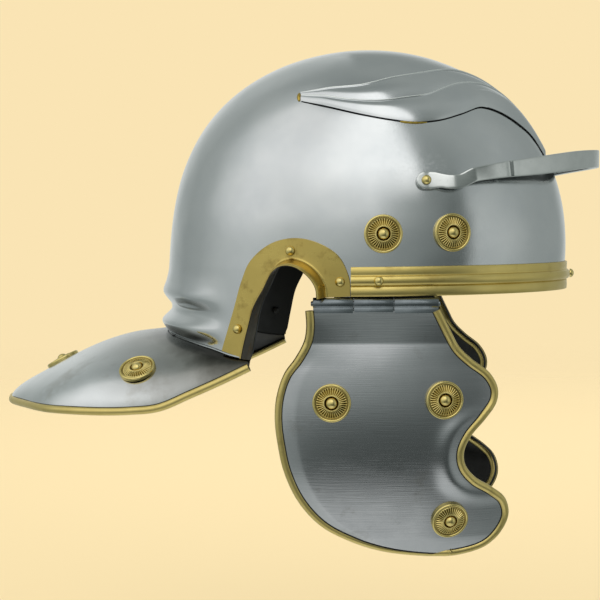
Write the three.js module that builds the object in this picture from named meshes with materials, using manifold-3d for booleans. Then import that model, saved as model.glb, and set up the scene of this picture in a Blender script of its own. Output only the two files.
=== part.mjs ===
// Roman legionary helmet of the Imperial Gallic kind, in millimetres.
// +X is the front, +Y the wearer's left and +Z up. The origin is the middle of the head opening,
// level with the brow rim, where a head carries the helmet.
import * as THREE from 'three';
import { mergeVertices } from 'three/addons/utils/BufferGeometryUtils.js';
import Module from 'manifold-3d';

const wasm = await Module();
wasm.setup();

// Fits
const GAP = 0.3;
const SIDES = [['right', -1], ['left', 1]];

// Skull: an egg-shaped plan below a domed crown
const SKULL_WALL = 1.4;
const SKULL_CENTRE_X = -12;
const SKULL_FRONT = 128;
const SKULL_BACK = 112;
const SKULL_HALF_WIDTH = 101;
const DOME_BASE_Z = 14;
const CROWN_Z = 142.5;
const CROWN_FORWARD = 9.7;
const FRONT_ROUNDNESS = 2.09;
const BACK_ROUNDNESS = 2.94;
const SKULL_COLUMNS = 40;
const DOME_RINGS = 8;
const WALL_RING_STEP = 7.5;
const SKULL_SKIRT_Z = -46;
// Flats of the skull's wall lie this far inside its true curve, so what goes through it is longer.
const SKULL_SAG = 0.9;

// Nape ribs
const RIB_TOP_Z = -2.5;
const RIB_PITCH = 17;
const RIB_RISE = 2.2;
const RIB_STAND = 1.1;
const RIB_FULL_X = -108;
const RIB_END_X = -80;
const RIB_SLOPE = 0.1;
const RIB_TOP_LEVEL = 0.5;
const RIB_BLEND = 0.35;

// Lower edge of the skull, seen from the side, from the brow rim to the nape
const RIM_Z = -1.3;
const RIM_RISE_PER_MM = 0.01;
const EAR_EDGE = [
  [-21.2, -1.6],
  [-22.2, 5],
  [-26.2, 11.4],
  [-32.6, 16.2],
  [-39.3, 17.6],
  [-45.6, 14.8],
  [-52, 3.2],
  [-56.6, -6.8],
  [-59.6, -20.3],
  [-61.9, -32.6],
];
const NAPE_CORNER = [-64, -37.8];
const NAPE_BACK_Z = -28;

// Ear guards
const EAR_WALL = 1.2;
const EAR_OUTER_EDGE = [
  [-6.9, -1.1],
  [-7.5, 8.5],
  [-13.3, 20.6],
  [-24, 27.6],
  [-36.7, 30.4],
  [-50.5, 27.4],
  [-62.4, 17.7],
  [-67.6, 6.6],
  [-72.4, -9.5],
  [-79.2, -31],
];
const EAR_FLANGE = 11.5;
const EAR_FLANGE_LEAN = 2.3;
const EAR_OPENING_MIDDLE = [-35, -4];
const EAR_LEAN_DROP = 30;
const EAR_STATIONS = 18;
const EAR_RIVETS = [[-12.6, 6.8], [-39.5, 23.4], [-69.7, -20.2]];

// Brow band: heights above the rim and stand-off from the skull
const BAND_WALL = 1;
const BAND_HEIGHT = 16.1;
const BAND_BEAD_Z = 8.6;
const BAND_BEAD_HALF = 2.7;
const BAND_BEAD_RISE = 1.7;
const BAND_STATIONS = 22;
const BAND_END_X = -6.2;
const BAND_SIDE_RIVET_X = 7.9;

// Rosettes and rivets
const ROSETTE_RADIUS = 10.5;
const ROSETTE_HEIGHT = 2;
const ROSETTE_EDGE_HEIGHT = 1.5;
const ROSETTE_RIM_WIDTH = 1.2;
const ROSETTE_RING_HEIGHT = 1.6;
const ROSETTE_RECESS_TOP = 4.2;
const ROSETTE_RECESS_FOOT = 3.8;
const ROSETTE_SEGMENTS = 12;
const ROSETTE_SEAT = 0.8;
const RIVET_HEAD_RADIUS = 2.65;
const RIVET_HEAD_HEIGHT = 2.1;
const RIVET_SHOULDER = [0.8, 0.65];
const RIVET_SHANK_RADIUS = 1.3;
const RIVET_TAIL_RADIUS = 2.1;
const RIVET_TAIL_HEIGHT = 0.8;
const RIVET_SEGMENTS = 8;
const HOLE_REACH = 20;
const SKULL_ROSETTES = [['front', 47.5, 33.4], ['back', 10.5, 32.7]];

// Peak guard: a strap bent on edge round the front
const PEAK_WALL = 2.4;
const PEAK_TAB_RADIUS = 4.9;
const PEAK_RIVET_X = 32.8;
const PEAK_TAB_Z = 61.2;
const PEAK_WAY = [
  [59, 82, 64.8],
  [75, 75.4, 67.8],
  [90, 66.2, 69.8],
  [104, 54.6, 72],
  [119, 38.5, 74.6],
  [130.5, 18, 76.2],
  [134.8, 0, 76.8],
];
// Along the strap: where it stops lying on the skull, and where it stands upright.
const PEAK_LIE_END = 20;
const PEAK_LIE_X = [41, 49];
const PEAK_END_HALF = 0.5;
const PEAK_NECK_START = 6.9;
const PEAK_NECK_END = 14.7;
const PEAK_GROW_START_X = 50;
const PEAK_GROW_END_X = 110;
const PEAK_CLEAR_START = 42;
const PEAK_HEIGHT_SIDE = 7.7;
const PEAK_HEIGHT_FRONT = 10.4;
const PEAK_STATIONS = 36;

// Eyebrows: upper and lower edges as angle round the skull and height
const BROW_RISE = 1.5;
const BROW_ROOT = 1.1;
const BROW_UPPER = [
  [113, 111],
  [93, 114.4],
  [73, 120.6],
  [52, 125.1],
  [33, 126],
  [17, 123],
  [6, 114],
  [4, 100],
  [4, 86],
];
const BROW_LOWER = [
  [111.5, 106.8],
  [98, 102.2],
  [82, 96.2],
  [68, 94.2],
  [55, 99.3],
  [42, 104.6],
  [29, 99],
  [18, 89],
  [13, 76],
];
const BROW_STATIONS = 20;
const BROW_STRIPS = 4;

// Neck guard: plan and height of its edge, from the front corner to the back
const NECK_WALL = 1.4;
const NECK_EDGE = [
  [-63.5, 92.9, -41],
  [-79, 92.7, -48.6],
  [-96, 92.2, -56.3],
  [-114.5, 91.6, -64.2],
  [-130, 91, -66.2],
  [-147, 89.5, -67],
  [-165, 84.6, -67.3],
  [-184, 72.6, -67.9],
  [-205, 45.5, -68.8],
  [-219, 22, -69.8],
  [-225.6, 0, -70.4],
];
// Height of the neck guard along its middle line; forward of the nape this lies inside the skull.
const NECK_CREST = [
  [-60, -29],
  [-72, -24],
  [-84, -20.8],
  [-96, -21.5],
  [-110, -24],
  [-128.5, -27.2],
  [-148.2, -29.8],
  [-165.4, -35],
  [-185.2, -44],
  [-200.7, -52.3],
  [-218.2, -62.6],
  [-226.7, -70.6],
];
const NECK_EDGE_POINTS = 120;
const NECK_STATIONS = 26;
const NECK_RUNGS = 6;
const NECK_FAN_POWER = 0.85;
const NECK_SAG = 0.7;
const NECK_ROSETTE_SIDE = [-129.5, 76.5];
const NECK_ROSETTE_BACK_X = -192.5;

// Rolled rims: a C-shaped section that grips the edge of a plate
const RIM_RADIUS = 2.2;
const RIM_POINTS = 8;
const RIM_GAP = 0.5;

// Cheek guards, in the hinge's own frame: u forward along the pin, w down
const HINGE_CENTRE = [8.6, 98.6, -5];
const HINGE_TURN = THREE.MathUtils.degToRad(7.5);
const CHEEK_WALL = 1.3;
const CHEEK_TOP = 3.7;
const CHEEK_EDGE = [
  [-38, CHEEK_TOP],
  [-37.5, 12.8],
  [-38.7, 20.9],
  [-43.6, 30.6],
  [-49.6, 39.4],
  [-53.6, 52],
  [-54.4, 64],
  [-52.8, 77.6],
  [-49.6, 92],
  [-42, 108.6],
  [-29.8, 122.4],
  [-13, 131.6],
  [3.2, 137.2],
  [20, 140.2],
  [36, 141.5],
  [50, 140.3],
  [61.6, 136.5],
  [69.4, 128.8],
  [72.9, 119.6],
  [70.4, 111],
  [63.2, 104.9],
  [52.6, 98.2],
  [46, 90],
  [44.7, 81.5],
  [48.4, 72.2],
  [57, 62],
  [62.8, 54.2],
  [63.6, 47.6],
  [59.6, 40],
  [49.5, 32.2],
  [42, 25],
  [37.4, 17],
  [30.6, CHEEK_TOP],
];
const CHEEK_LENGTH = 135;
const CHEEK_BULGE = 7;
const CHEEK_TUCK = 13;
const CHEEK_CURL = 0.0025;
const CHEEK_CURL_FULL = 35;
const CHEEK_ROWS = 17;
const CHEEK_EDGE_POINTS = 240;
// The lowest row is this many edge points forward of the lowest one, so that it has some width.
const CHIN_FLAT = 5;
const CHEEK_COLUMNS = 6;
const CHEEK_SAG = 0.6;
const CHEEK_ROSETTES = [['front', 35.1, 52.3], ['back', -25.9, 53.5], ['chin', 40.2, 120.7]];

// Hinges
const KNUCKLE_RADIUS = 3.1;
const KNUCKLE_SEGMENTS = 12;
const PIN_RADIUS = 1.4;
const KNUCKLE_ENDS = [[-36, -14.4], [7.9, 31.9]];
const LEAF_KNUCKLE = [-14, 7.5];
const LEAF_WALL = 1;
// The leaf lies inside the skull, this far in from the pin, with a gap to the skull's wall.
const LEAF_SET = 2.25;
const LEAF_GAP = 0.9;
const LEAF_TOP = 16;
const PIN_OVERHANG = 1.2;
const LUG_SET = 0.3;
const LUG_OVERLAP = 1;
const LUG_ENDS = [-35.4, 28];

// Sheet and mesh making: how near two points merge, steps of the halving search, cutter size.
const MERGE_DISTANCE = 1e-3;
const HALVINGS = 40;
const CUTTER_REACH = 260;
const NECK_SEARCH_STEPS = 60;

const STEEL = { color: 0xb9bdbd, roughness: 0.32, metalness: 1 };
const BRASS = { color: 0xb59f52, roughness: 0.36, metalness: 1 };

// Closed geometry with merged vertices, no flat triangles and its faces pointing out.
function tidy(geometry) {
  geometry.deleteAttribute('normal');
  geometry.deleteAttribute('uv');
  const merged = mergeVertices(geometry, MERGE_DISTANCE);
  const position = merged.getAttribute('position');
  const index = merged.getIndex().array;
  const corner = (i) => new THREE.Vector3().fromBufferAttribute(position, i);
  const kept = [];
  let volume = 0;
  for (let i = 0; i < index.length; i += 3) {
    const [a, b, c] = [index[i], index[i + 1], index[i + 2]];
    if (a === b || b === c || c === a) continue;
    kept.push(a, b, c);
    volume += corner(a).dot(corner(b).cross(corner(c)));
  }
  if (volume < 0) kept.reverse();
  merged.setIndex(kept);
  return merged;
}

// Solid through a row of closed sections, each a loop of the same number of points.
function loft(sections, closed = false) {
  const size = sections[0].length;
  const count = sections.length;
  const index = [];
  for (let i = 0; i < (closed ? count : count - 1); i += 1) {
    for (let j = 0; j < size; j += 1) {
      const a = i * size + j;
      const b = i * size + (j + 1) % size;
      const c = ((i + 1) % count) * size + (j + 1) % size;
      const d = ((i + 1) % count) * size + j;
      index.push(a, b, c, a, c, d);
    }
  }
  if (!closed) {
    for (const [first, flip] of [[0, true], [count - 1, false]]) {
      for (const face of capFaces(sections[first])) {
        const [a, b, c] = face.map((k) => first * size + k);
        index.push(...(flip ? [a, c, b] : [a, b, c]));
      }
    }
  }
  const geometry = new THREE.BufferGeometry();
  const points = sections.flat().flatMap((p) => [p.x, p.y, p.z]);
  geometry.setAttribute('position', new THREE.Float32BufferAttribute(points, 3));
  geometry.setIndex(index);
  return tidy(geometry);
}

// Triangles across one flat loop, turned the way the loop runs.
function capFaces(loop) {
  const normal = new THREE.Vector3();
  loop.forEach((p, i) => normal.add(new THREE.Vector3().crossVectors(p, loop[(i + 1) % loop.length])));
  normal.normalize();
  const along = new THREE.Vector3().subVectors(loop[1], loop[0]).normalize();
  const across = new THREE.Vector3().crossVectors(normal, along);
  const flat = loop.map((p) => new THREE.Vector2(p.dot(along), p.dot(across)));
  return THREE.ShapeUtils.triangulateShape(flat, []);
}

function toManifold(geometry) {
  const position = geometry.getAttribute('position').array;
  const mesh = new wasm.Mesh({
    numProp: 3,
    vertProperties: new Float32Array(position),
    triVerts: new Uint32Array(geometry.getIndex().array),
  });
  return new wasm.Manifold(mesh);
}

function fromManifold(manifold) {
  const mesh = manifold.getMesh();
  const geometry = new THREE.BufferGeometry();
  geometry.setAttribute('position', new THREE.BufferAttribute(mesh.vertProperties, 3));
  geometry.setIndex(new THREE.BufferAttribute(mesh.triVerts, 1));
  return geometry;
}

function combine(base, added, removed) {
  let result = toManifold(base);
  for (const geometry of added) result = result.add(toManifold(geometry));
  for (const geometry of removed) result = result.subtract(toManifold(geometry));
  return fromManifold(result);
}

// A turned solid about the Z axis, from a profile of [radius, height] pairs.
function turned(profile, segments) {
  const points = profile.map(([radius, height]) => new THREE.Vector2(radius, height));
  return tidy(new THREE.LatheGeometry(points, segments).rotateX(Math.PI / 2));
}

function spline(points) {
  const vectors = points.map((p) => new THREE.Vector3(...p, ...(p.length === 2 ? [0] : [])));
  return new THREE.CatmullRomCurve3(vectors, false, 'centripetal');
}

// Point of the skull's outer surface, grown outwards by some millimetres. Angle 0 is the front.
function skullPoint(angle, z, grow = 0) {
  const rise = Math.max(0, (z - DOME_BASE_Z) / (CROWN_Z + grow - DOME_BASE_Z));
  const frontness = (1 + Math.cos(angle)) / 2;
  const power = THREE.MathUtils.lerp(BACK_ROUNDNESS, FRONT_ROUNDNESS, frontness);
  const shrink = Math.sqrt(Math.max(0, 1 - rise ** power));
  const length = (Math.cos(angle) > 0 ? SKULL_FRONT : SKULL_BACK) + grow;
  const x = SKULL_CENTRE_X + CROWN_FORWARD * rise + length * shrink * Math.cos(angle);
  const y = (SKULL_HALF_WIDTH + grow) * shrink * Math.sin(angle);
  const bulge = ribBulge(x, z);
  return new THREE.Vector3(x + bulge * Math.cos(angle), y + bulge * Math.sin(angle), z);
}

// Stand-off of the two rounded nape ribs, fading out towards the ears.
function ribBulge(x, z) {
  const level = (z + RIB_SLOPE * (x - RIB_FULL_X) - RIB_TOP_Z) / RIB_PITCH;
  if (level > RIB_TOP_LEVEL || x > RIB_END_X) return 0;
  const fade = THREE.MathUtils.smoothstep(RIB_END_X - x, 0, RIB_END_X - RIB_FULL_X);
  const wave = Math.cos(2 * Math.PI * level);
  const blend = THREE.MathUtils.smoothstep(RIB_TOP_LEVEL - level, 0, RIB_BLEND);
  return fade * blend * (RIB_STAND + RIB_RISE * wave);
}

// Angle round the skull's wall at a given X.
function wallAngle(x) {
  const along = x - SKULL_CENTRE_X;
  return Math.acos(along / (along > 0 ? SKULL_FRONT : SKULL_BACK));
}

function skullNormal(angle, z, side) {
  const step = 0.01;
  const here = skullPoint(angle, z);
  const round = skullPoint(angle + step, z).sub(here);
  const up = skullPoint(angle, z + step).sub(here);
  const normal = round.cross(up).normalize();
  return new THREE.Vector3(normal.x, normal.y * side, normal.z);
}

// Angle round the skull where its surface at height z has a given X.
function angleAt(x, z) {
  let low = 0;
  let high = Math.PI;
  for (let i = 0; i < HALVINGS; i += 1) {
    const middle = (low + high) / 2;
    if (skullPoint(middle, z).x > x) low = middle;
    else high = middle;
  }
  return (low + high) / 2;
}

function rimHeight(x) {
  return RIM_Z + RIM_RISE_PER_MM * (x - BAND_END_X);
}

// A place on the skull's side with its outward direction.
function skullSeat(x, z, side, standOff) {
  const angle = angleAt(x, z);
  const normal = skullNormal(angle, z, side);
  const point = skullPoint(angle, z);
  point.y *= side;
  return { point: point.addScaledVector(normal, standOff), normal };
}

function seatMatrix({ point, normal }) {
  const turn = new THREE.Quaternion().setFromUnitVectors(new THREE.Vector3(0, 0, 1), normal);
  return new THREE.Matrix4().compose(point, turn, new THREE.Vector3(1, 1, 1));
}

function holeAt(seat) {
  const radius = RIVET_SHANK_RADIUS + GAP;
  const hole = new THREE.CylinderGeometry(radius, radius, HOLE_REACH, RIVET_SEGMENTS);
  return tidy(hole.rotateX(Math.PI / 2)).applyMatrix4(seatMatrix(seat));
}

function mesh(name, geometry, look) {
  const part = new THREE.Mesh(geometry, new THREE.MeshStandardMaterial(look));
  part.name = name;
  return part;
}

// Rivet with a domed head above z = 0 and a peened tail below a stack of plates.
function rivet(name, seat, stack) {
  const foot = -stack - 2 * GAP;
  const profile = [
    [0, foot - RIVET_TAIL_HEIGHT],
    [RIVET_TAIL_RADIUS, foot - RIVET_TAIL_HEIGHT],
    [RIVET_TAIL_RADIUS, foot],
    [RIVET_SHANK_RADIUS, foot],
    [RIVET_SHANK_RADIUS, 0],
    [RIVET_HEAD_RADIUS, 0],
    [RIVET_HEAD_RADIUS * RIVET_SHOULDER[0], RIVET_HEAD_HEIGHT * RIVET_SHOULDER[1]],
    [0, RIVET_HEAD_HEIGHT],
  ];
  const part = mesh(name, turned(profile, RIVET_SEGMENTS), BRASS);
  const point = seat.point.clone().addScaledVector(seat.normal, GAP);
  part.applyMatrix4(seatMatrix({ point, normal: seat.normal }));
  return part;
}

// Rosette: a raised rim and ring round a recess, with a hole for its rivet.
function rosette(name, seat) {
  const hole = RIVET_SHANK_RADIUS + GAP;
  const profile = [
    [hole, 0],
    [ROSETTE_RADIUS, 0],
    [ROSETTE_RADIUS, ROSETTE_EDGE_HEIGHT],
    [ROSETTE_RADIUS - ROSETTE_RIM_WIDTH, ROSETTE_HEIGHT],
    [ROSETTE_RECESS_TOP, ROSETTE_RING_HEIGHT],
    [ROSETTE_RECESS_FOOT, ROSETTE_SEAT],
    [hole, ROSETTE_SEAT],
    [hole, 0],
  ];
  const part = mesh(name, turned(profile, ROSETTE_SEGMENTS), BRASS);
  part.applyMatrix4(seatMatrix(seat));
  return part;
}

// Rosette and its rivet on a plate; the seat lies on the plate's outer face.
function rosettePair(name, seat, plate) {
  const lifted = { point: seat.point.clone().addScaledVector(seat.normal, GAP), normal: seat.normal };
  const top = { point: lifted.point.clone().addScaledVector(seat.normal, ROSETTE_SEAT), normal: seat.normal };
  const stack = plate + ROSETTE_SEAT + GAP;
  return [rosette(`rosette_${name}`, lifted), rivet(`rosette_rivet_${name}`, top, stack)];
}

const helmet = new THREE.Group();

// The lower edge from the side, and all the metal below it, cut from the skull in one pass.
function lowerEdgeCutter() {
  const shape = new THREE.Shape();
  const far = CUTTER_REACH;
  shape.moveTo(far, -far);
  shape.lineTo(far, rimHeight(far));
  const arch = spline(EAR_EDGE).getPoints(EAR_STATIONS);
  for (const p of arch) shape.lineTo(p.x, p.y);
  shape.lineTo(...NAPE_CORNER);
  shape.lineTo(SKULL_CENTRE_X - SKULL_BACK, NAPE_BACK_Z);
  shape.lineTo(-far, NAPE_BACK_Z);
  shape.lineTo(-far, -far);
  const geometry = new THREE.ExtrudeGeometry(shape, { depth: far, bevelEnabled: false });
  return tidy(geometry.translate(0, 0, -far / 2).rotateX(Math.PI / 2));
}

// Skull wall as sections round the crown, each going up the outside and down the inside.
function skullShell() {
  const heights = [];
  for (let z = SKULL_SKIRT_Z; z < DOME_BASE_Z; z += WALL_RING_STEP) heights.push(z);
  for (let i = 0; i <= DOME_RINGS; i += 1) {
    heights.push(DOME_BASE_Z + (CROWN_Z - DOME_BASE_Z) * Math.sin((i / DOME_RINGS) * Math.PI / 2));
  }
  const crownDrop = (CROWN_Z - SKULL_WALL - DOME_BASE_Z) / (CROWN_Z - DOME_BASE_Z);
  const inside = (z) => (z > DOME_BASE_Z ? DOME_BASE_Z + (z - DOME_BASE_Z) * crownDrop : z);
  const sections = [];
  for (let i = 0; i < SKULL_COLUMNS; i += 1) {
    const angle = (i / SKULL_COLUMNS) * 2 * Math.PI;
    const outer = heights.map((z) => skullPoint(angle, z));
    const inner = heights.map((z) => skullPoint(angle, inside(z), -SKULL_WALL)).reverse();
    sections.push([...outer, ...inner]);
  }
  return loft(sections, true);
}

// Plan of both edges of the neck guard at a station from 0 (right front corner) to 1 (left front corner).
const neckEdge = spline(NECK_EDGE);
const neckEdgePoints = neckEdge.getSpacedPoints(NECK_EDGE_POINTS);
const neckCrest = NECK_CREST.map(([x, z]) => new THREE.Vector3(x, 0, z));

function neckLine(station) {
  const side = station < 0.5 ? -1 : 1;
  const share = 1 - Math.abs(2 * station - 1);
  const outer = neckEdge.getPointAt(share);
  const angle = THREE.MathUtils.lerp(wallAngle(NAPE_CORNER[0]), Math.PI, share ** NECK_FAN_POWER);
  const inner = skullPoint(angle, 0, -SKULL_WALL / 2);
  inner.y *= side;
  outer.y *= side;
  return { inner, outer };
}

// Point at a given X on a line that runs backwards.
function pointAtX(line, x) {
  const next = line.findIndex((p) => p.x < x);
  if (next < 1) return line[next < 0 ? line.length - 1 : 0];
  const [before, after] = [line[next - 1], line[next]];
  return before.clone().lerp(after, (before.x - x) / (before.x - after.x));
}

// The guard arches from side to side, from its middle line down to its edge.
function neckHeight(x, y) {
  const crest = pointAtX(neckCrest, x).z;
  const edge = pointAtX(neckEdgePoints, x);
  const share = Math.min(1, Math.abs(y) / Math.max(edge.y, SKULL_WALL));
  return crest - (crest - edge.z) * (1 - Math.sqrt(1 - share ** 2));
}

function neckPoint(station, reach) {
  const { inner, outer } = neckLine(station);
  const point = new THREE.Vector3().lerpVectors(inner, outer, Math.sin(reach * Math.PI / 2));
  point.z = reach === 1 ? outer.z : neckHeight(point.x, point.y);
  return point;
}

function neckNormal(station, reach) {
  const step = 0.01;
  const rung = 0.5 / NECK_RUNGS;
  const s = THREE.MathUtils.clamp(station, step, 1 - step);
  const r = THREE.MathUtils.clamp(reach, rung, 1 - rung);
  const along = neckPoint(s + step, reach).sub(neckPoint(s - step, reach));
  const out = neckPoint(s, r + rung).sub(neckPoint(s, r - rung));
  const normal = out.cross(along).normalize();
  return normal.z < 0 ? normal.negate() : normal;
}

function neckPlate() {
  const sections = [];
  for (let i = 0; i <= NECK_STATIONS; i += 1) {
    const station = i / NECK_STATIONS;
    const top = [];
    const under = [];
    for (let j = 0; j <= NECK_RUNGS; j += 1) {
      const point = neckPoint(station, j / NECK_RUNGS);
      const normal = neckNormal(station, j / NECK_RUNGS);
      top.push(point.clone().addScaledVector(normal, NECK_WALL / 2));
      under.push(point.addScaledVector(normal, -NECK_WALL / 2));
    }
    sections.push([...top, ...under.reverse()]);
  }
  return loft(sections);
}

// Place on the neck guard nearest a plan point, found by stepping over stations and reaches.
function neckSeat(x, y) {
  const fine = NECK_SEARCH_STEPS;
  let best = null;
  for (let i = 0; i <= fine; i += 1) {
    for (let j = 0; j <= fine; j += 1) {
      const point = neckPoint(i / fine, j / fine);
      const miss = Math.hypot(point.x - x, point.y - y);
      if (best === null || miss < best.miss) best = { miss, point, normal: neckNormal(i / fine, j / fine) };
    }
  }
  best.point.addScaledVector(best.normal, NECK_WALL / 2);
  return best;
}

// Layered eyebrow plate, brazed on: its root sinks into the skull.
function browPlate(side) {
  const upper = spline(BROW_UPPER);
  const lower = spline(BROW_LOWER);
  const sections = [];
  for (let i = 0; i <= BROW_STATIONS; i += 1) {
    const high = upper.getPoint(i / BROW_STATIONS);
    const low = lower.getPoint(i / BROW_STATIONS);
    const face = [];
    const root = [];
    for (let j = 0; j <= BROW_STRIPS; j += 1) {
      const place = new THREE.Vector3().lerpVectors(low, high, j / BROW_STRIPS);
      const angle = THREE.MathUtils.degToRad(place.x);
      const normal = skullNormal(angle, place.y, 1);
      const point = skullPoint(angle, place.y);
      face.push(point.clone().addScaledVector(normal, BROW_RISE));
      root.push(point.addScaledVector(normal, -BROW_ROOT));
    }
    const section = [...face, ...root.reverse()];
    section.forEach((p) => p.setY(p.y * side));
    sections.push(section);
  }
  return loft(sections);
}

// Rolled rim: a C-shaped section carried along a plate's edge, open towards the plate.
function rolledRim(stations) {
  const slot = NECK_WALL / 2 + RIM_GAP;
  const mouth = Math.asin(slot / RIM_RADIUS);
  const sections = stations.map(({ point, inward, normal }) => {
    const at = (a, b) => point.clone().addScaledVector(inward, a).addScaledVector(normal, b);
    const section = [];
    for (let i = 0; i < RIM_POINTS; i += 1) {
      const angle = THREE.MathUtils.lerp(mouth, 2 * Math.PI - mouth, i / (RIM_POINTS - 1));
      section.push(at(RIM_RADIUS * Math.cos(angle), RIM_RADIUS * Math.sin(angle)));
    }
    section.push(at(-GAP, -slot), at(-GAP, slot));
    return section;
  });
  return loft(sections);
}

function neckRim() {
  const stations = [];
  for (let i = 0; i <= NECK_STATIONS; i += 1) {
    const station = i / NECK_STATIONS;
    const point = neckPoint(station, 1);
    const normal = neckNormal(station, 1);
    const step = 1 / NECK_STATIONS;
    const ahead = neckPoint(Math.min(1, station + step), 1);
    const along = ahead.sub(neckPoint(Math.max(0, station - step), 1)).normalize();
    const inward = new THREE.Vector3().crossVectors(normal, along).normalize();
    const inside = neckPoint(station, 1 - 1 / NECK_RUNGS).sub(point);
    if (inward.dot(inside) < 0) inward.negate();
    stations.push({ point, inward, normal: new THREE.Vector3().crossVectors(along, inward).normalize() });
  }
  return rolledRim(stations);
}

// Seats of everything riveted to the skull, with the plates that each goes through.
const skullHoles = [];
const bandHoles = [];
const earHoles = { right: [], left: [] };
const leafHoles = { right: [], left: [] };
const peakHoles = [];

for (const [name, side] of SIDES) {
  for (const [place, x, z] of SKULL_ROSETTES) {
    const seat = skullSeat(x, z, side, 0);
    skullHoles.push(holeAt(seat));
    helmet.add(...rosettePair(`${place}_${name}`, seat, SKULL_WALL + SKULL_SAG));
  }
  EAR_RIVETS.forEach(([x, z], i) => {
    const seat = skullSeat(x, z, side, GAP + EAR_WALL);
    skullHoles.push(holeAt(seat));
    earHoles[name].push(holeAt(seat));
    helmet.add(rivet(`ear_rivet_${i + 1}_${name}`, seat, SKULL_WALL + SKULL_SAG + GAP + EAR_WALL));
  });
  const peakSeat = skullSeat(PEAK_RIVET_X, PEAK_TAB_Z, side, GAP + PEAK_WALL);
  skullHoles.push(holeAt(peakSeat));
  peakHoles.push(holeAt(peakSeat));
  helmet.add(rivet(`peak_rivet_${name}`, peakSeat, SKULL_WALL + SKULL_SAG + GAP + PEAK_WALL));
}

// Band rivets: one at each side holds the hinge leaf too, and one at the front.
for (const [name, side] of [...SIDES, ['front', 0]]) {
  const x = side === 0 ? SKULL_CENTRE_X + SKULL_FRONT : BAND_SIDE_RIVET_X;
  const z = rimHeight(x) + BAND_BEAD_Z;
  const standOff = GAP + BAND_WALL + BAND_BEAD_RISE;
  const seat = side === 0
    ? { point: new THREE.Vector3(x + standOff, 0, z), normal: new THREE.Vector3(1, 0, 0) }
    : skullSeat(x, z, side, standOff);
  skullHoles.push(holeAt(seat));
  bandHoles.push(holeAt(seat));
  if (side !== 0) leafHoles[name].push(holeAt(seat));
  const leaf = side === 0 ? 0 : LEAF_GAP + LEAF_WALL;
  helmet.add(rivet(`band_rivet_${name}`, seat, SKULL_WALL + SKULL_SAG + standOff + leaf));
}

// Neck guard rosettes
const neckHoles = [];
for (const [name, side] of [...SIDES, ['middle', 0]]) {
  const [x, y] = side === 0 ? [NECK_ROSETTE_BACK_X, 0] : [NECK_ROSETTE_SIDE[0], NECK_ROSETTE_SIDE[1] * side];
  const seat = neckSeat(x, y);
  neckHoles.push(holeAt(seat));
  helmet.add(...rosettePair(`neck_${name}`, seat, NECK_WALL + NECK_SAG));
}

const bowlMetal = combine(skullShell(), [], [lowerEdgeCutter()]);
const browPlates = SIDES.map(([, side]) => browPlate(side));
const bowl = combine(bowlMetal, [neckPlate(), ...browPlates], [...skullHoles, ...neckHoles]);
helmet.add(mesh('bowl', bowl, STEEL));
helmet.add(mesh('neck_guard_rim', neckRim(), BRASS));

// Ear guard: plate on the skull and a flange standing out round the opening.
function earGuard(side) {
  const edge = spline(EAR_EDGE);
  const outer = spline(EAR_OUTER_EDGE);
  const middle = new THREE.Vector2(...EAR_OPENING_MIDDLE);
  const sections = [];
  for (let i = 0; i <= EAR_STATIONS; i += 1) {
    const root = edge.getPoint(i / EAR_STATIONS);
    const rim = outer.getPoint(i / EAR_STATIONS);
    const away = new THREE.Vector2(rim.x - root.x, rim.y - root.y).setLength(EAR_WALL);
    const spot = (x, z, standOff) => skullSeat(x, z, side, standOff).point;
    const low = GAP;
    const high = GAP + EAR_WALL;
    const tipMove = new THREE.Vector2(middle.x - root.x, Math.max(middle.y - root.y, -EAR_LEAN_DROP));
    tipMove.setLength(EAR_FLANGE_LEAN);
    const turnX = root.x + tipMove.x;
    const turnZ = root.y + tipMove.y;
    sections.push([
      spot(root.x, root.y, low),
      spot(rim.x, rim.y, low),
      spot(rim.x, rim.y, high),
      spot(root.x + away.x, root.y + away.y, high),
      spot(turnX + away.x, turnZ + away.y, high + EAR_FLANGE),
      spot(turnX, turnZ, high + EAR_FLANGE),
    ]);
  }
  return loft(sections);
}

for (const [name, side] of SIDES) {
  helmet.add(mesh(`ear_guard_${name}`, combine(earGuard(side), [], earHoles[name]), BRASS));
}

// Brow band: a flat strip with a half-round bead, from ear guard to ear guard.
function browBand() {
  const inner = GAP;
  const face = GAP + BAND_WALL;
  const bead = (turn) => [
    face + BAND_BEAD_RISE * Math.cos(turn),
    BAND_BEAD_Z + BAND_BEAD_HALF * Math.sin(turn),
  ];
  const quarter = Math.PI / 2;
  const profile = [
    [inner, 0],
    [face, 0],
    bead(-quarter),
    bead(-quarter / 2),
    bead(0),
    bead(quarter / 2),
    bead(quarter),
    [face, BAND_HEIGHT],
    [inner, BAND_HEIGHT],
  ];
  const end = wallAngle(BAND_END_X);
  const sections = [];
  for (let i = 0; i <= BAND_STATIONS; i += 1) {
    const angle = THREE.MathUtils.lerp(-end, end, i / BAND_STATIONS);
    const base = rimHeight(skullPoint(angle, 0).x);
    const normal = skullNormal(Math.abs(angle), 0, Math.sign(angle) || 1);
    sections.push(profile.map(([out, up]) => {
      const point = skullPoint(angle, base + up);
      return point.addScaledVector(normal, out);
    }));
  }
  return loft(sections);
}

helmet.add(mesh('brow_band', combine(browBand(), [], bandHoles), BRASS));

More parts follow.
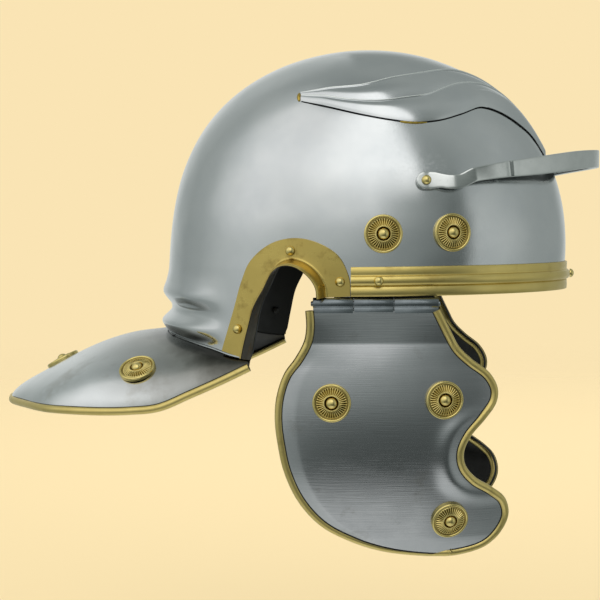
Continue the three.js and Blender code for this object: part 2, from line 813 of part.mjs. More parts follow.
// Peak guard: the strap lies on the skull at each tab and swings clear of it round the front.
function peakGuard() {
  const tabStart = PEAK_RIVET_X - PEAK_TAB_RADIUS;
  const onSkull = [tabStart, PEAK_RIVET_X, ...PEAK_LIE_X].map((x) => {
    const seat = skullSeat(x, PEAK_TAB_Z, 1, GAP + PEAK_WALL / 2);
    return [seat.point.x, seat.point.y, seat.point.z];
  });
  const half = [...onSkull, ...PEAK_WAY];
  const whole = [...half, ...half.slice(0, -1).reverse().map(([x, y, z]) => [x, -y, z])];
  const way = spline(whole);
  const length = way.getLength();
  const sections = [];
  for (let i = 0; i <= PEAK_STATIONS; i += 1) {
    // Stations crowd towards the tabs, where the outline is round.
    const share = 0.5 - 0.5 * Math.cos(Math.PI * i / PEAK_STATIONS);
    const point = way.getPointAt(share);
    const along = way.getTangentAt(share).normalize();
    const flatOut = new THREE.Vector3(point.x - SKULL_CENTRE_X, point.y, 0);
    flatOut.addScaledVector(along, -flatOut.dot(along)).setZ(0).normalize();
    const fromEnd = length * Math.min(share, 1 - share);
    const reach = Math.min(fromEnd, PEAK_TAB_RADIUS);
    const endRound = PEAK_TAB_RADIUS ** 2 - (PEAK_TAB_RADIUS - reach) ** 2;
    const round = Math.sqrt(Math.max(PEAK_END_HALF ** 2, endRound));
    const clear = THREE.MathUtils.smoothstep(fromEnd, PEAK_LIE_END, PEAK_CLEAR_START);
    const side = point.y < 0 ? -1 : 1;
    const lying = skullNormal(angleAt(Math.min(point.x, PEAK_WAY[0][0]), point.z), point.z, side);
    const out = lying.lerp(flatOut, clear).normalize();
    const up = new THREE.Vector3().crossVectors(along, out).normalize();
    if (up.z < 0) up.negate();
    const frontness = THREE.MathUtils.smoothstep(point.x, PEAK_GROW_START_X, PEAK_GROW_END_X);
    const strap = THREE.MathUtils.lerp(PEAK_HEIGHT_SIDE, PEAK_HEIGHT_FRONT, frontness) / 2;
    const neck = THREE.MathUtils.smoothstep(fromEnd, PEAK_NECK_START, PEAK_NECK_END);
    const tall = THREE.MathUtils.lerp(round, strap, neck);
    const corner = (a, b) => point.clone()
      .addScaledVector(out, a * PEAK_WALL / 2)
      .addScaledVector(up, b * tall);
    sections.push([corner(-1, -1), corner(1, -1), corner(1, 1), corner(-1, 1)]);
  }
  return loft(sections);
}

helmet.add(mesh('peak_guard', combine(peakGuard(), [], peakHoles), STEEL));

// Cheek guards, each in its hinge's frame: x forward along the pin, y outwards, z up.
function cheekStand(u, w) {
  const down = w / CHEEK_LENGTH;
  const curl = CHEEK_CURL * u ** 2 * THREE.MathUtils.smoothstep(w, CHEEK_TOP, CHEEK_CURL_FULL);
  return CHEEK_BULGE * Math.sin(Math.PI * down) - CHEEK_TUCK * down ** 2 - curl;
}

function cheekPoint(u, w, side) {
  return new THREE.Vector3(u, cheekStand(u, w) * side, -w);
}

function cheekNormal(u, w, side) {
  const step = 0.1;
  const here = cheekPoint(u, w, side);
  const along = cheekPoint(u + step, w, side).sub(here);
  const down = cheekPoint(u, w + step, side).sub(here);
  const normal = along.cross(down).normalize();
  return normal.y * side < 0 ? normal.negate() : normal;
}

const cheekEdge = spline(CHEEK_EDGE).getSpacedPoints(CHEEK_EDGE_POINTS);
const cheekLowest = cheekEdge.reduce((best, p, i) => (p.y > cheekEdge[best].y ? i : best), 0);

// Where part of the edge crosses a level.
function cheekCrossing(w, from, to) {
  for (let i = from; i < to; i += 1) {
    const [a, b] = [cheekEdge[i], cheekEdge[i + 1]];
    if ((a.y - w) * (b.y - w) <= 0 && a.y !== b.y) {
      return THREE.MathUtils.lerp(a.x, b.x, (w - a.y) / (b.y - a.y));
    }
  }
  return cheekEdge[cheekLowest].x;
}

// Rows across the plate, closest where the front edge is busiest: level, back edge and front edge.
function cheekRows() {
  const rows = [];
  for (let i = 0; i <= CHEEK_ROWS; i += 1) {
    const share = (CHEEK_ROWS - i) / CHEEK_ROWS;
    const place = Math.round(THREE.MathUtils.lerp(cheekLowest + CHIN_FLAT, CHEEK_EDGE_POINTS, share));
    const w = cheekEdge[place].y;
    rows.push([w, cheekCrossing(w, 0, cheekLowest), cheekEdge[place].x]);
  }
  return rows;
}

function cheekPlate(side) {
  const sections = cheekRows().map(([w, back, front]) => {
    const face = [];
    const inside = [];
    for (let j = 0; j <= CHEEK_COLUMNS; j += 1) {
      const u = THREE.MathUtils.lerp(back, front, j / CHEEK_COLUMNS);
      const normal = cheekNormal(u, w, side);
      face.push(cheekPoint(u, w, side).addScaledVector(normal, CHEEK_WALL / 2));
      inside.push(cheekPoint(u, w, side).addScaledVector(normal, -CHEEK_WALL / 2));
    }
    return [...face, ...inside.reverse()];
  });
  return loft(sections);
}

// A bar along the pin, solid or to be cut out.
function barrel(from, to, radius) {
  const bar = new THREE.CylinderGeometry(radius, radius, to - from, KNUCKLE_SEGMENTS);
  return tidy(bar.rotateZ(Math.PI / 2).translate((from + to) / 2, 0, 0));
}

function slab(from, to, low, high, thick, y) {
  const box = new THREE.BoxGeometry(to - from, thick, high - low);
  return tidy(box.translate((from + to) / 2, y, (low + high) / 2));
}

function cheekSolid(side, holes) {
  const added = [];
  for (const [from, to] of KNUCKLE_ENDS) {
    added.push(barrel(from, to, KNUCKLE_RADIUS));
    const [back, front] = [Math.max(from, LUG_ENDS[0]), Math.min(to, LUG_ENDS[1])];
    added.push(slab(back, front, -CHEEK_TOP - LUG_OVERLAP, -PIN_RADIUS - GAP, CHEEK_WALL, LUG_SET * side));
  }
  const [[first], [, last]] = KNUCKLE_ENDS;
  const bore = barrel(first - 1, last + 1, PIN_RADIUS + GAP);
  return combine(cheekPlate(side), added, [bore, ...holes]);
}

// The rim turns at the same places as the plate's edge, down the back and up the front.
function cheekRim(side) {
  const rows = cheekRows();
  const back = rows.map(([w, u]) => [u, w]);
  const front = rows.map(([w, , u]) => [u, w]).reverse();
  const edge = [...back, ...front];
  const points = edge.map(([u, w]) => cheekPoint(u, w, side));
  const stations = points.map((point, i) => {
    const after = points[Math.min(i + 1, points.length - 1)].clone().sub(point).normalize();
    const before = point.clone().sub(points[Math.max(i - 1, 0)]).normalize();
    const along = after.add(before).normalize();
    const normal = cheekNormal(...edge[i], side);
    const inward = new THREE.Vector3().crossVectors(normal, along).normalize();
    if (i < back.length ? inward.x < 0 : inward.x > 0) inward.negate();
    return { point, inward, normal };
  });
  return rolledRim(stations);
}

function hingeLeaf(side, holes) {
  const [from, to] = LEAF_KNUCKLE;
  const plate = slab(from, to, 0, LEAF_TOP, LEAF_WALL, -LEAF_SET * side);
  const bore = barrel(from - 1, to + 1, PIN_RADIUS + GAP);
  return combine(barrel(from, to, KNUCKLE_RADIUS), [plate], [bore, ...holes]);
}

for (const [name, side] of SIDES) {
  const hinge = new THREE.Group();
  hinge.position.set(HINGE_CENTRE[0], HINGE_CENTRE[1] * side, HINGE_CENTRE[2]);
  hinge.rotation.z = -HINGE_TURN * side;
  hinge.updateMatrix();
  const intoHinge = hinge.matrix.clone().invert();
  const cheekHoles = [];
  for (const [place, u, w] of CHEEK_ROSETTES) {
    const normal = cheekNormal(u, w, side);
    const seat = { point: cheekPoint(u, w, side).addScaledVector(normal, CHEEK_WALL / 2), normal };
    cheekHoles.push(holeAt(seat));
    hinge.add(...rosettePair(`cheek_${place}_${name}`, seat, CHEEK_WALL + CHEEK_SAG));
  }
  const leafCuts = leafHoles[name].map((hole) => hole.applyMatrix4(intoHinge));
  const [[first], [, last]] = KNUCKLE_ENDS;
  hinge.add(mesh(`cheek_guard_${name}`, cheekSolid(side, cheekHoles), STEEL));
  hinge.add(mesh(`cheek_rim_${name}`, cheekRim(side), BRASS));
  hinge.add(mesh(`hinge_leaf_${name}`, hingeLeaf(side, leafCuts), STEEL));
  hinge.add(mesh(`hinge_pin_${name}`, barrel(first - PIN_OVERHANG, last + PIN_OVERHANG, PIN_RADIUS), STEEL));
  helmet.add(hinge);
}

export default helmet;
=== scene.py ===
"""Roman legionary helmet: a domed steel skull with its neck guard, eyebrows, brass fittings,
peak strap and hinged cheek guards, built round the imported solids. Sizes are in millimetres."""

from math import cos, pi, radians, sin

import bmesh
import bpy
import numpy as np
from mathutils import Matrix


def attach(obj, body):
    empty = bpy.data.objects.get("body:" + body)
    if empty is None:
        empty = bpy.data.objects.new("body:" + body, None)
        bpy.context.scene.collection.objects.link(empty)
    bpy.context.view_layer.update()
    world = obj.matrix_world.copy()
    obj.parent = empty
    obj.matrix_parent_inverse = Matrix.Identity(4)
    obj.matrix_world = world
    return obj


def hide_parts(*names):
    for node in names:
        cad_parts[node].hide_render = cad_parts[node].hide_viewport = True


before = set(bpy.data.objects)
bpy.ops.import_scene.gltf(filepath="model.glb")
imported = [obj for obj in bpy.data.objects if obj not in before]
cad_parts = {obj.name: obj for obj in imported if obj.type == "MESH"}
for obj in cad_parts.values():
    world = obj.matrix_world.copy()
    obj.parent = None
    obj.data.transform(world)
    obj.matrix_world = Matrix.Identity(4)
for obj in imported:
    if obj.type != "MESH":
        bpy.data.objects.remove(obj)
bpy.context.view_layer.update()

bl_info = {
    "name": "Roman legionary helmet",
    "version": (1, 0, 0),
    "blender": (4, 5, 0),
    "location": "View3D > Sidebar > Helmet",
    "description": "Builds the helmet's skull, guards, brass fittings and stage",
    "category": "Object",
}

MM = 0.001
SIDES = (("right", -1.0), ("left", 1.0))
# Gap left between pieces that lie on each other.
GAP = 0.3
BOWL_STEEL = ("helmet", "polished_steel", "bowl")

# Skull: an egg-shaped plan below a domed crown.
SKULL_WALL, WALL_TOP, WALL_SHARE = 1.4, 20.0, 0.31
CENTRE_X = -12.0
FRONT, BACK, HALF_WIDTH = 128.0, 112.0, 101.0
DOME_BASE, CROWN, CROWN_FORWARD = 14.0, 142.5, 9.7
FRONT_ROUND, BACK_ROUND = 2.09, 2.94
BAND_END_X = -6.2
# Nape ribs: height and how far the wall stands out there.
RIB_PROFILE = ((20, 0), (11, 0.1), (4, 1.6), (-3, 3.6), (-7.5, 0.9), (-10.5, -1.5), (-13.8, -1.6),
               (-16.2, 0.6), (-20.5, 4.3), (-24.5, 2.4), (-28, -0.8), (-34, -1.0), (-60, -1.0))
RIB_SLOPE, RIB_FULL_X, RIB_END_X = 0.06, -106.0, -74.0
# Lower edge of the skull seen from the side: round the ear, then down to the nape.
EAR_EDGE = ((-21.2, -1.6), (-22.2, 5), (-26.2, 11.4), (-32.6, 16.2), (-39.3, 17.6), (-45.6, 14.8),
            (-52, 3.2), (-56.6, -6.8), (-59.6, -20.3), (-61.9, -32.6))
NAPE_START_X, NAPE_BACK_Z = -64.0, -28.0

# Ear guard: outer edge of its plate, flange height and how far the flange leans over the opening.
EAR_OUTER = ((-6.9, -1.1), (-7.5, 8.5), (-13.3, 20.6), (-24, 27.6), (-36.7, 30.4), (-50.5, 27.4),
             (-62.4, 17.7), (-67.6, 6.6), (-72.4, -9.5), (-79.2, -31))
EAR_WALL, EAR_FLANGE, EAR_LEAN, EAR_MIDDLE = 1.2, 11.5, 2.3, (-35.0, -4.0)
EAR_FOOT, EAR_OUTER_FOOT = (-62.6, -37.2), (-79.7, -32.9)
EAR_RIVETS = ((-12.6, 6.8), (-39.5, 23.4), (-69.7, -20.2))

# Brow band.
BAND_WALL, BAND_HEIGHT, BEAD_Z, BEAD_HALF, BEAD_RISE = 1.0, 16.1, 8.6, 2.8, 1.8
BAND_RIVET_X = 7.9

# Neck guard: its edge in plan and height, and the height of its middle line.
NECK_WALL = 1.4
NECK_EDGE = ((-63.5, 92.9, -41), (-79, 92.7, -48.6), (-96, 92.2, -56.3), (-114.5, 91.6, -64.2),
             (-130, 91, -66.2), (-147, 89.5, -67), (-165, 84.6, -67.3), (-184, 72.6, -67.9),
             (-205, 45.5, -68.8), (-219, 22, -69.8), (-225.6, 0, -70.4))
NECK_CREST = ((-60, -29), (-72, -24), (-84, -20.8), (-96, -21.5), (-110, -24), (-128.5, -27.2),
              (-148.2, -29.8), (-165.4, -35), (-185.2, -44), (-200.7, -52.3), (-218.2, -62.6),
              (-226.7, -70.6))
NECK_FAN, NECK_STATIONS = 0.85, 481
NECK_ROSETTES = (("right", -129.5, -76.5), ("left", -129.5, 76.5), ("middle", -192.5, 0.0))

# Eyebrows: angle round the skull and height along each ridge, from the back tip to the front.
BROW_TOP = ((113.4, 111.3), (101, 113.3), (89, 114.9), (77, 119.4), (65, 122.4), (52, 125.1),
            (40, 126.4), (28, 125.3), (17, 121.5), (9, 114), (6, 100), (6, 86))
BROW_RIDGE = ((112.4, 109.8), (104, 108.6), (92, 105.9), (82, 105.3), (73, 107.3), (65, 109.4),
              (58.5, 112.7), (49, 116.4), (38, 117.9), (25, 117.3), (14, 112), (9.5, 99), (9, 84))
BROW_LOWER = ((111.6, 106.8), (99, 102.6), (88, 98.4), (79, 95.5), (72, 94.1), (64, 95.4),
              (55, 99.3), (44, 104.1), (39.5, 103.9), (33, 101.5), (26, 96.8), (18, 89.3),
              (14, 77))
BROW_PROUD = 2.7

# Peak strap: the way its middle line takes from the tab round the front.
PEAK_WALL, PEAK_TAB_R, PEAK_RIVET_X, PEAK_TAB_Z = 2.4, 4.9, 32.8, 61.2
PEAK_WAY = ((59, 82, 64.8), (75, 75.4, 67.8), (90, 66.2, 69.8), (104, 54.6, 72), (119, 38.5, 74.6),
            (130.5, 18, 76.2), (134.8, 0, 76.8))
PEAK_LIE_END, PEAK_CLEAR, PEAK_SIDE_TALL, PEAK_FRONT_TALL = 20.0, 42.0, 7.7, 10.4
PEAK_KINK, PEAK_DIP, PEAK_DENT, DENT_FROM_END, DENT_HALF = 3.0, 1.2, 0.9, 55.0, 1.5

# Cheek guards, in the hinge's own frame: u forward along the pin, w down.
HINGE_CENTRE, HINGE_TURN = (8.6, 98.6, -5.0), radians(7.5)
CHEEK_WALL, CHEEK_TOP, CHEEK_LENGTH = 1.3, 3.7, 135.0
CREASE_W, CREASE_STAND, HINGE_STAND = 21.6, 1.7, 2.4
CHEEK_BOW, CHEEK_TUCK, CHEEK_CURL = 7.0, 13.0, 0.0025
# How far the back and low edges curl in and how wide that is; then the crescent round the notch:
# its middle, radius, half width and height.
CURL_BACK, CURL_LOW = (2.0, 9.0), (1.5, 10.0)
NOTCH_MIDDLE, CRESCENT_R, CRESCENT_HALF, CRESCENT_RISE = (62.0, 84.0), 25.5, 5.5, 1.8
CHEEK_EDGE = ((-38, 3.7), (-37.5, 12.8), (-38.7, 20.9), (-43.6, 30.6), (-49.6, 39.4), (-53.6, 52),
              (-54.4, 64), (-52.8, 77.6), (-49.6, 92), (-42, 108.6), (-29.8, 122.4), (-13, 131.6),
              (3.2, 137.2), (20, 140.2), (36, 141.5), (50, 140.3), (61.6, 136.5), (69.4, 128.8),
              (72.9, 119.6), (70.4, 111), (63.2, 104.9), (52.6, 98.2), (46, 90), (44.7, 81.5),
              (48.4, 72.2), (57, 62), (62.8, 54.2), (63.6, 47.6), (59.6, 40), (49.5, 32.2),
              (42, 25), (37.4, 17), (30.6, 3.7))
CHEEK_ROSETTES = (("front", 35.1, 52.3), ("back", -25.9, 53.5), ("chin", 40.2, 120.7))
RIM_RADIUS = 2.3
KNUCKLE_R, PIN_R, PIN_OVERHANG = 3.3, 1.4, 1.2
CHEEK_KNUCKLES, LEAF_KNUCKLE = ((-36.0, -14.4), (7.9, 31.9)), (-14.0, 7.5)
LEAF_WALL, LEAF_TOP, LEAF_SET = 1.0, 16.0, 2.25

# Rosettes and rivets.
ROSETTE_R, ROSETTE_SEAT, RIVET_R = 10.5, 0.8, 2.65
SKULL_ROSETTES = (("front", 47.5, 33.4), ("back", 10.5, 32.7))


# ---------------------------------------------------------------- shapes as arrays

def smoothstep(x, low, high):
    """0 before low, 1 after high, and 3t squared less 2t cubed between them."""
    t = np.clip((np.asarray(x, float) - low) / (high - low), 0.0, 1.0)
    return t * t * (3.0 - 2.0 * t)


def unit(v):
    """Vectors divided by their length."""
    return v / np.maximum(np.linalg.norm(v, axis=-1, keepdims=True), 1e-12)


def tangents(line):
    """Unit directions along a line, from the differences of its points."""
    return unit(np.gradient(line, axis=0))


def mirrored(y):
    """Signs that carry a point of the left half over to the side of each Y."""
    return np.stack([np.ones_like(y), np.where(y < 0, -1.0, 1.0), np.ones_like(y)], -1)


def read_off(places, at, table):
    """Every column of a table, interpolated at the given places."""
    return np.stack([np.interp(places, at, table[:, k]) for k in range(table.shape[1])], -1)


def curve(points, count, spaced=True):
    """Centripetal Catmull-Rom line through the points: each span is the cubic whose end slopes
    come from its neighbours, with knots spaced by the root of the distance between points.
    It is sampled evenly by length, or evenly by span."""
    p = np.asarray(points, float)
    p = np.vstack([2 * p[0] - p[1], p, 2 * p[-1] - p[-2]])
    a, b, c, d = p[:-3], p[1:-2], p[2:-1], p[3:]
    gap = lambda q, r: np.maximum(np.linalg.norm(r - q, axis=1, keepdims=True) ** 0.5, 1e-4)
    g0, g1, g2 = gap(a, b), gap(b, c), gap(c, d)
    s1 = ((b - a) / g0 - (c - a) / (g0 + g1) + (c - b) / g1) * g1
    s2 = ((c - b) / g1 - (d - b) / (g1 + g2) + (d - c) / g2) * g1

    def at(t):
        t = np.clip(t, 0.0, len(a) - 1e-9)
        k = t.astype(int)
        f = (t - k)[:, None]
        square = -3 * b[k] + 3 * c[k] - 2 * s1[k] - s2[k]
        cube = 2 * b[k] - 2 * c[k] + s1[k] + s2[k]
        return b[k] + s1[k] * f + square * f ** 2 + cube * f ** 3

    if not spaced:
        return at(np.linspace(0, len(a), count))
    fine = at(np.linspace(0, len(a), 40 * len(a)))
    return resample(fine, count)


def resample(line, count):
    """Points evenly spaced by length along a fine line."""
    way = np.r_[0, np.cumsum(np.linalg.norm(np.diff(line, axis=0), axis=1))]
    even = np.linspace(0, way[-1], count)
    return read_off(even, way, line)


def rounded(outline, radius, steps=4):
    """Closed outline whose every corner becomes a quadratic bow between points set back by the
    radius on its two sides."""
    p = np.asarray(outline, float)
    before, after = np.roll(p, 1, 0) - p, np.roll(p, -1, 0) - p
    length = lambda v: np.maximum(np.linalg.norm(v, axis=1, keepdims=True), 1e-9)
    set_back = lambda v: v * np.minimum(radius / length(v), 0.45)
    q, r = p + set_back(before), p + set_back(after)
    t = np.linspace(0, 1, steps + 1)[None, :, None]
    bows = q[:, None] * (1 - t) ** 2 + 2 * p[:, None] * t * (1 - t) + r[:, None] * t ** 2
    return bows.reshape(-1, p.shape[1])


def ripple(points, size, seed=0.0):
    """Smooth wandering value between about -1 and 1: a sum of sines whose directions differ."""
    x, y, z = points[..., 0], points[..., 1], points[..., 2]
    total = np.zeros(x.shape)
    for k in range(6):
        a, b, c = sin(7.1 * k + seed), cos(4.3 * k + 2 * seed), sin(2.7 * k + 1 + seed)
        way = a * x + b * y + c * z
        total = total + np.sin(way * 2 * pi / (size * (0.7 + 0.2 * k)) + 5.3 * k)
    return total / 3.0


RIB_LINE = curve(RIB_PROFILE, 400)[::-1]


def rib_bulge(x, z):
    """Stand-off of the two nape ribs: their profile over height, sloping down towards the front,
    faded out before the ear guard."""
    level = z + RIB_SLOPE * (x + 112.0)
    out = np.interp(level, RIB_LINE[:, 0], RIB_LINE[:, 1])
    return out * (1.0 - smoothstep(x, RIB_FULL_X, RIB_END_X))


def skull_point(angle, z, grow=0.0):
    """Point of the skull: an ellipse in plan, longer in front than behind, whose size falls with
    height as the root of 1 less the height share to a power, and whose middle moves forward."""
    angle, z = np.broadcast_arrays(np.asarray(angle, float), np.asarray(z, float))
    rise = np.clip((z - DOME_BASE) / (CROWN + grow - DOME_BASE), 0.0, 1.0)
    ahead = np.cos(angle)
    power = BACK_ROUND + (FRONT_ROUND - BACK_ROUND) * (1 + ahead) / 2
    shrink = np.sqrt(np.maximum(0.0, 1.0 - rise ** power))
    length = BACK + (FRONT - BACK) * smoothstep(ahead, -0.5, 0.5) + grow
    x = CENTRE_X + CROWN_FORWARD * rise + length * shrink * ahead
    y = (HALF_WIDTH + grow) * shrink * np.sin(angle)
    bulge = rib_bulge(x, z)
    return np.stack([x + bulge * ahead, y + bulge * np.sin(angle), z], -1)


def skull_normal(angle, z):
    """Outward direction: the cross product of the surface's steps round and up."""
    here = skull_point(angle, z)
    turn = skull_point(np.asarray(angle) + 0.004, z) - skull_point(np.asarray(angle) - 0.004, z)
    return unit(np.cross(turn, skull_point(angle, np.asarray(z) + 0.05) - here))


def angle_at(x, z):
    """Angle round the skull where its surface at a height has a given X, found by halving."""
    low, high = np.zeros(np.shape(x)), np.full(np.shape(x), pi)
    for _ in range(34):
        middle = (low + high) / 2
        beyond = skull_point(middle, z)[..., 0] > x
        low, high = np.where(beyond, middle, low), np.where(beyond, high, middle)
    return (low + high) / 2


def skull_seat(x, z, side, stand):
    """Point and outward direction on the skull's side, a given distance off it."""
    x, z, stand = np.broadcast_arrays(np.asarray(x, float), np.asarray(z, float), stand)
    angle = angle_at(x, z)
    mirror = np.array([1.0, side, 1.0])
    normal = skull_normal(angle, z)
    return (skull_point(angle, z) + normal * stand[..., None]) * mirror, normal * mirror


def rim_height(x):
    """Height of the brow rim, which rises a hundredth of X towards the front."""
    return -1.3 + 0.01 * (x - BAND_END_X)


NECK_RIM_LINE, NECK_TOP_LINE = curve(NECK_EDGE, 400), curve(NECK_CREST, 400)


def neck_height(x, y):
    """Height of the neck guard over its plan: an elliptical arch from side to side, from its
    middle line down to its edge."""
    edge, crest = NECK_RIM_LINE[::-1], NECK_TOP_LINE[::-1]
    top = np.interp(x, crest[:, 0], crest[:, 1])
    part = np.abs(y) / np.maximum(np.interp(x, edge[:, 0], edge[:, 1]), SKULL_WALL)
    drop = 1 - np.sqrt(1 - np.clip(part, 0, 1) ** 2)
    return top - (top - np.interp(x, edge[:, 0], edge[:, 2])) * drop


def nape_foot(angle):
    """Height at which the skull's nape meets the neck guard, found by a few rounds of trial."""
    low = np.full(np.shape(angle), NAPE_BACK_Z)
    for _ in range(6):
        foot = skull_point(angle, low)
        low = neck_height(foot[..., 0], foot[..., 1]) - 0.3
    return low


def lower_edge(front, ear, nape):
    """Angle and height along the skull's lower edge, from the middle of the brow to the nape."""
    turn = angle_at(*EAR_EDGE[0])
    a = np.linspace(0, turn, front, endpoint=False)
    arch = curve(EAR_EDGE, ear)
    b = angle_at(arch[:, 0], arch[:, 1])
    first = angle_at(NAPE_START_X, 0.0)
    c = np.linspace(first, pi, nape)
    low = nape_foot(c)
    return np.r_[a, b, c], np.r_[rim_height(skull_point(a, 0.0)[:, 0]), arch[:, 1], low]


# ---------------------------------------------------------------- meshes

def surface(name, grid, finishes, owner, slots=0, round_way=False, round_profile=True, skip=(),
            weld=False, sharp=40.0, hollow_painted_shade=None):
    """Piece whose mesh covers a grid of stations along a way by points round a profile. Each cell
    is a four-sided face; the way and the profile can each close on themselves, and open ends are
    capped. Slots gives the finish of each step of the profile. Owner is the body the piece rides
    on, a material slot that is not used, and the CAD node it replaces."""
    n, m = grid.shape[:2]
    i, j = np.meshgrid(np.arange(n if round_way else n - 1), np.arange(m if round_profile else m - 1),
                       indexing="ij")
    keep = ~np.isin(j, list(skip))
    i, j = i[keep], j[keep]
    ahead, over = (i + 1) % n, (j + 1) % m
    faces = np.stack([i * m + j, i * m + over, ahead * m + over, ahead * m + j], -1)
    used = np.broadcast_to(np.asarray(slots), (m,))[j]
    faces, used = faces.tolist(), used.tolist()
    if not round_way:
        faces += [list(range(m))[::-1], [(n - 1) * m + k for k in range(m)]]
        used += [used[0]] * 2
    mesh = bpy.data.meshes.new(name)
    mesh.from_pydata((grid.reshape(-1, 3) * MM).tolist(), [], faces)
    for key in finishes:
        mesh.materials.append(finish(key))
    mesh.polygons.foreach_set("material_index", np.array(used, np.int32))
    tidy = bmesh.new()
    tidy.from_mesh(mesh)
    if weld:
        bmesh.ops.remove_doubles(tidy, verts=tidy.verts, dist=1e-6)
    bmesh.ops.recalc_face_normals(tidy, faces=tidy.faces)
    tidy.to_mesh(mesh)
    tidy.free()
    mesh.polygons.foreach_set("use_smooth", np.ones(len(mesh.polygons), bool))
    mesh.set_sharp_from_angle(angle=radians(sharp))
    if hollow_painted_shade is not None:
        mesh.attributes.new("hollow_painted_shade", "FLOAT", "POINT").data.foreach_set("value", hollow_painted_shade.ravel())
    piece = bpy.data.objects.new(name, mesh)
    bpy.context.scene.collection.objects.link(piece)
    body, slot, node = owner
    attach(piece, body)
    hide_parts(node)


def sweep(path, side_way, up_way, profile):
    """Grid of a profile carried along a path: each profile point is a distance along the first
    direction and a distance along the second, at every path point."""
    profile = np.asarray(profile, float)
    if profile.ndim == 2:
        profile = np.broadcast_to(profile, (len(path),) + profile.shape)
    return (path[:, None] + side_way[:, None] * profile[..., :1] + up_way[:, None] * profile[..., 1:])


def ring(radius, count):
    """Points of a circle: cosine and sine of an even turn, times the radius."""
    turn = np.linspace(0, 2 * pi, count, endpoint=False)
    return np.stack([np.cos(turn) * radius, np.sin(turn) * radius], -1)


def two_sided(face, inside):
    """Slots of a closed profile: the first finish over its face, the second over its inside."""
    return np.r_[np.zeros(face.shape[1]), np.ones(inside.shape[1])].astype(int)


def frame_on(normal):
    """Two directions that make a right-handed set with a normal."""
    helper = np.array([0.0, 0.0, 1.0]) if abs(normal[2]) < 0.8 else np.array([1.0, 0.0, 0.0])
    across = unit(np.cross(helper, normal))
    return across, np.cross(normal, across)


def turned_grid(profile, point, normal, count, waves=None):
    """Grid of a profile of radius and height turned round a normal; waves adds a height that
    depends on radius and turn."""
    across, up = frame_on(normal)
    turn = np.linspace(0, 2 * pi, count, endpoint=False)[:, None]
    radius, height = (np.asarray(profile, float)[:, k][None] for k in (0, 1))
    height = height + (waves(radius, turn) if waves else 0.0)
    radius = radius + 0 * turn
    flat = (np.cos(turn) * radius)[..., None] * across + (np.sin(turn) * radius)[..., None] * up
    return point + flat + (height + 0 * turn)[..., None] * normal


# ---------------------------------------------------------------- materials

def colour(hex_code):
    """sRGB hex to linear RGBA."""
    parts = np.array([int(hex_code[k:k + 2], 16) / 255 for k in (1, 3, 5)])
    linear = np.where(parts <= 0.04045, parts / 12.92, ((parts + 0.055) / 1.055) ** 2.4)
    return (*linear.tolist(), 1.0)


def tint(value):
    """Linear colour of a hex code, or of the user's colour of that name."""
    return colour(value) if value.startswith("#") else tuple(getattr(bpy.context.scene.helmet_colours, value))


def blank_tree(owner):
    """Node tree of a material or a world, switched on and emptied."""
    owner.use_nodes = True
    owner.node_tree.nodes.clear()
    return owner.node_tree


def add(tree, kind, sockets=None, out=0, **settings):
    """Adds a node with its settings and gives one of its outputs; a socket takes a value or the
    output that feeds it."""
    made = tree.nodes.new("ShaderNode" + kind)
    for key, value in settings.items():
        setattr(made, key, value)
    for key, value in (sockets or {}).items():
        if isinstance(value, bpy.types.NodeSocket):
            tree.links.new(value, made.inputs[key])
        else:
            made.inputs[key].default_value = value
    return made.outputs[out] if len(made.outputs) else None


def noise(tree, place, scale, detail, rough=0.5, bend=0.0):
    return add(tree, "TexNoise", {"Vector": place, "Scale": scale, "Detail": detail, "Roughness": rough,
                                  "Distortion": bend}, out="Fac")


def maths(tree, operation, *values):
    return add(tree, "Math", dict(enumerate(values)), operation=operation)


def remap(tree, value, low, high, first=0.0, last=1.0, **settings):
    return add(tree, "MapRange", {0: value, 1: low, 2: high, 3: first, 4: last}, **settings)


def blend(tree, share, first, second):
    return add(tree, "Mix", {0: share, 6: first, 7: second}, out=2, data_type="RGBA")


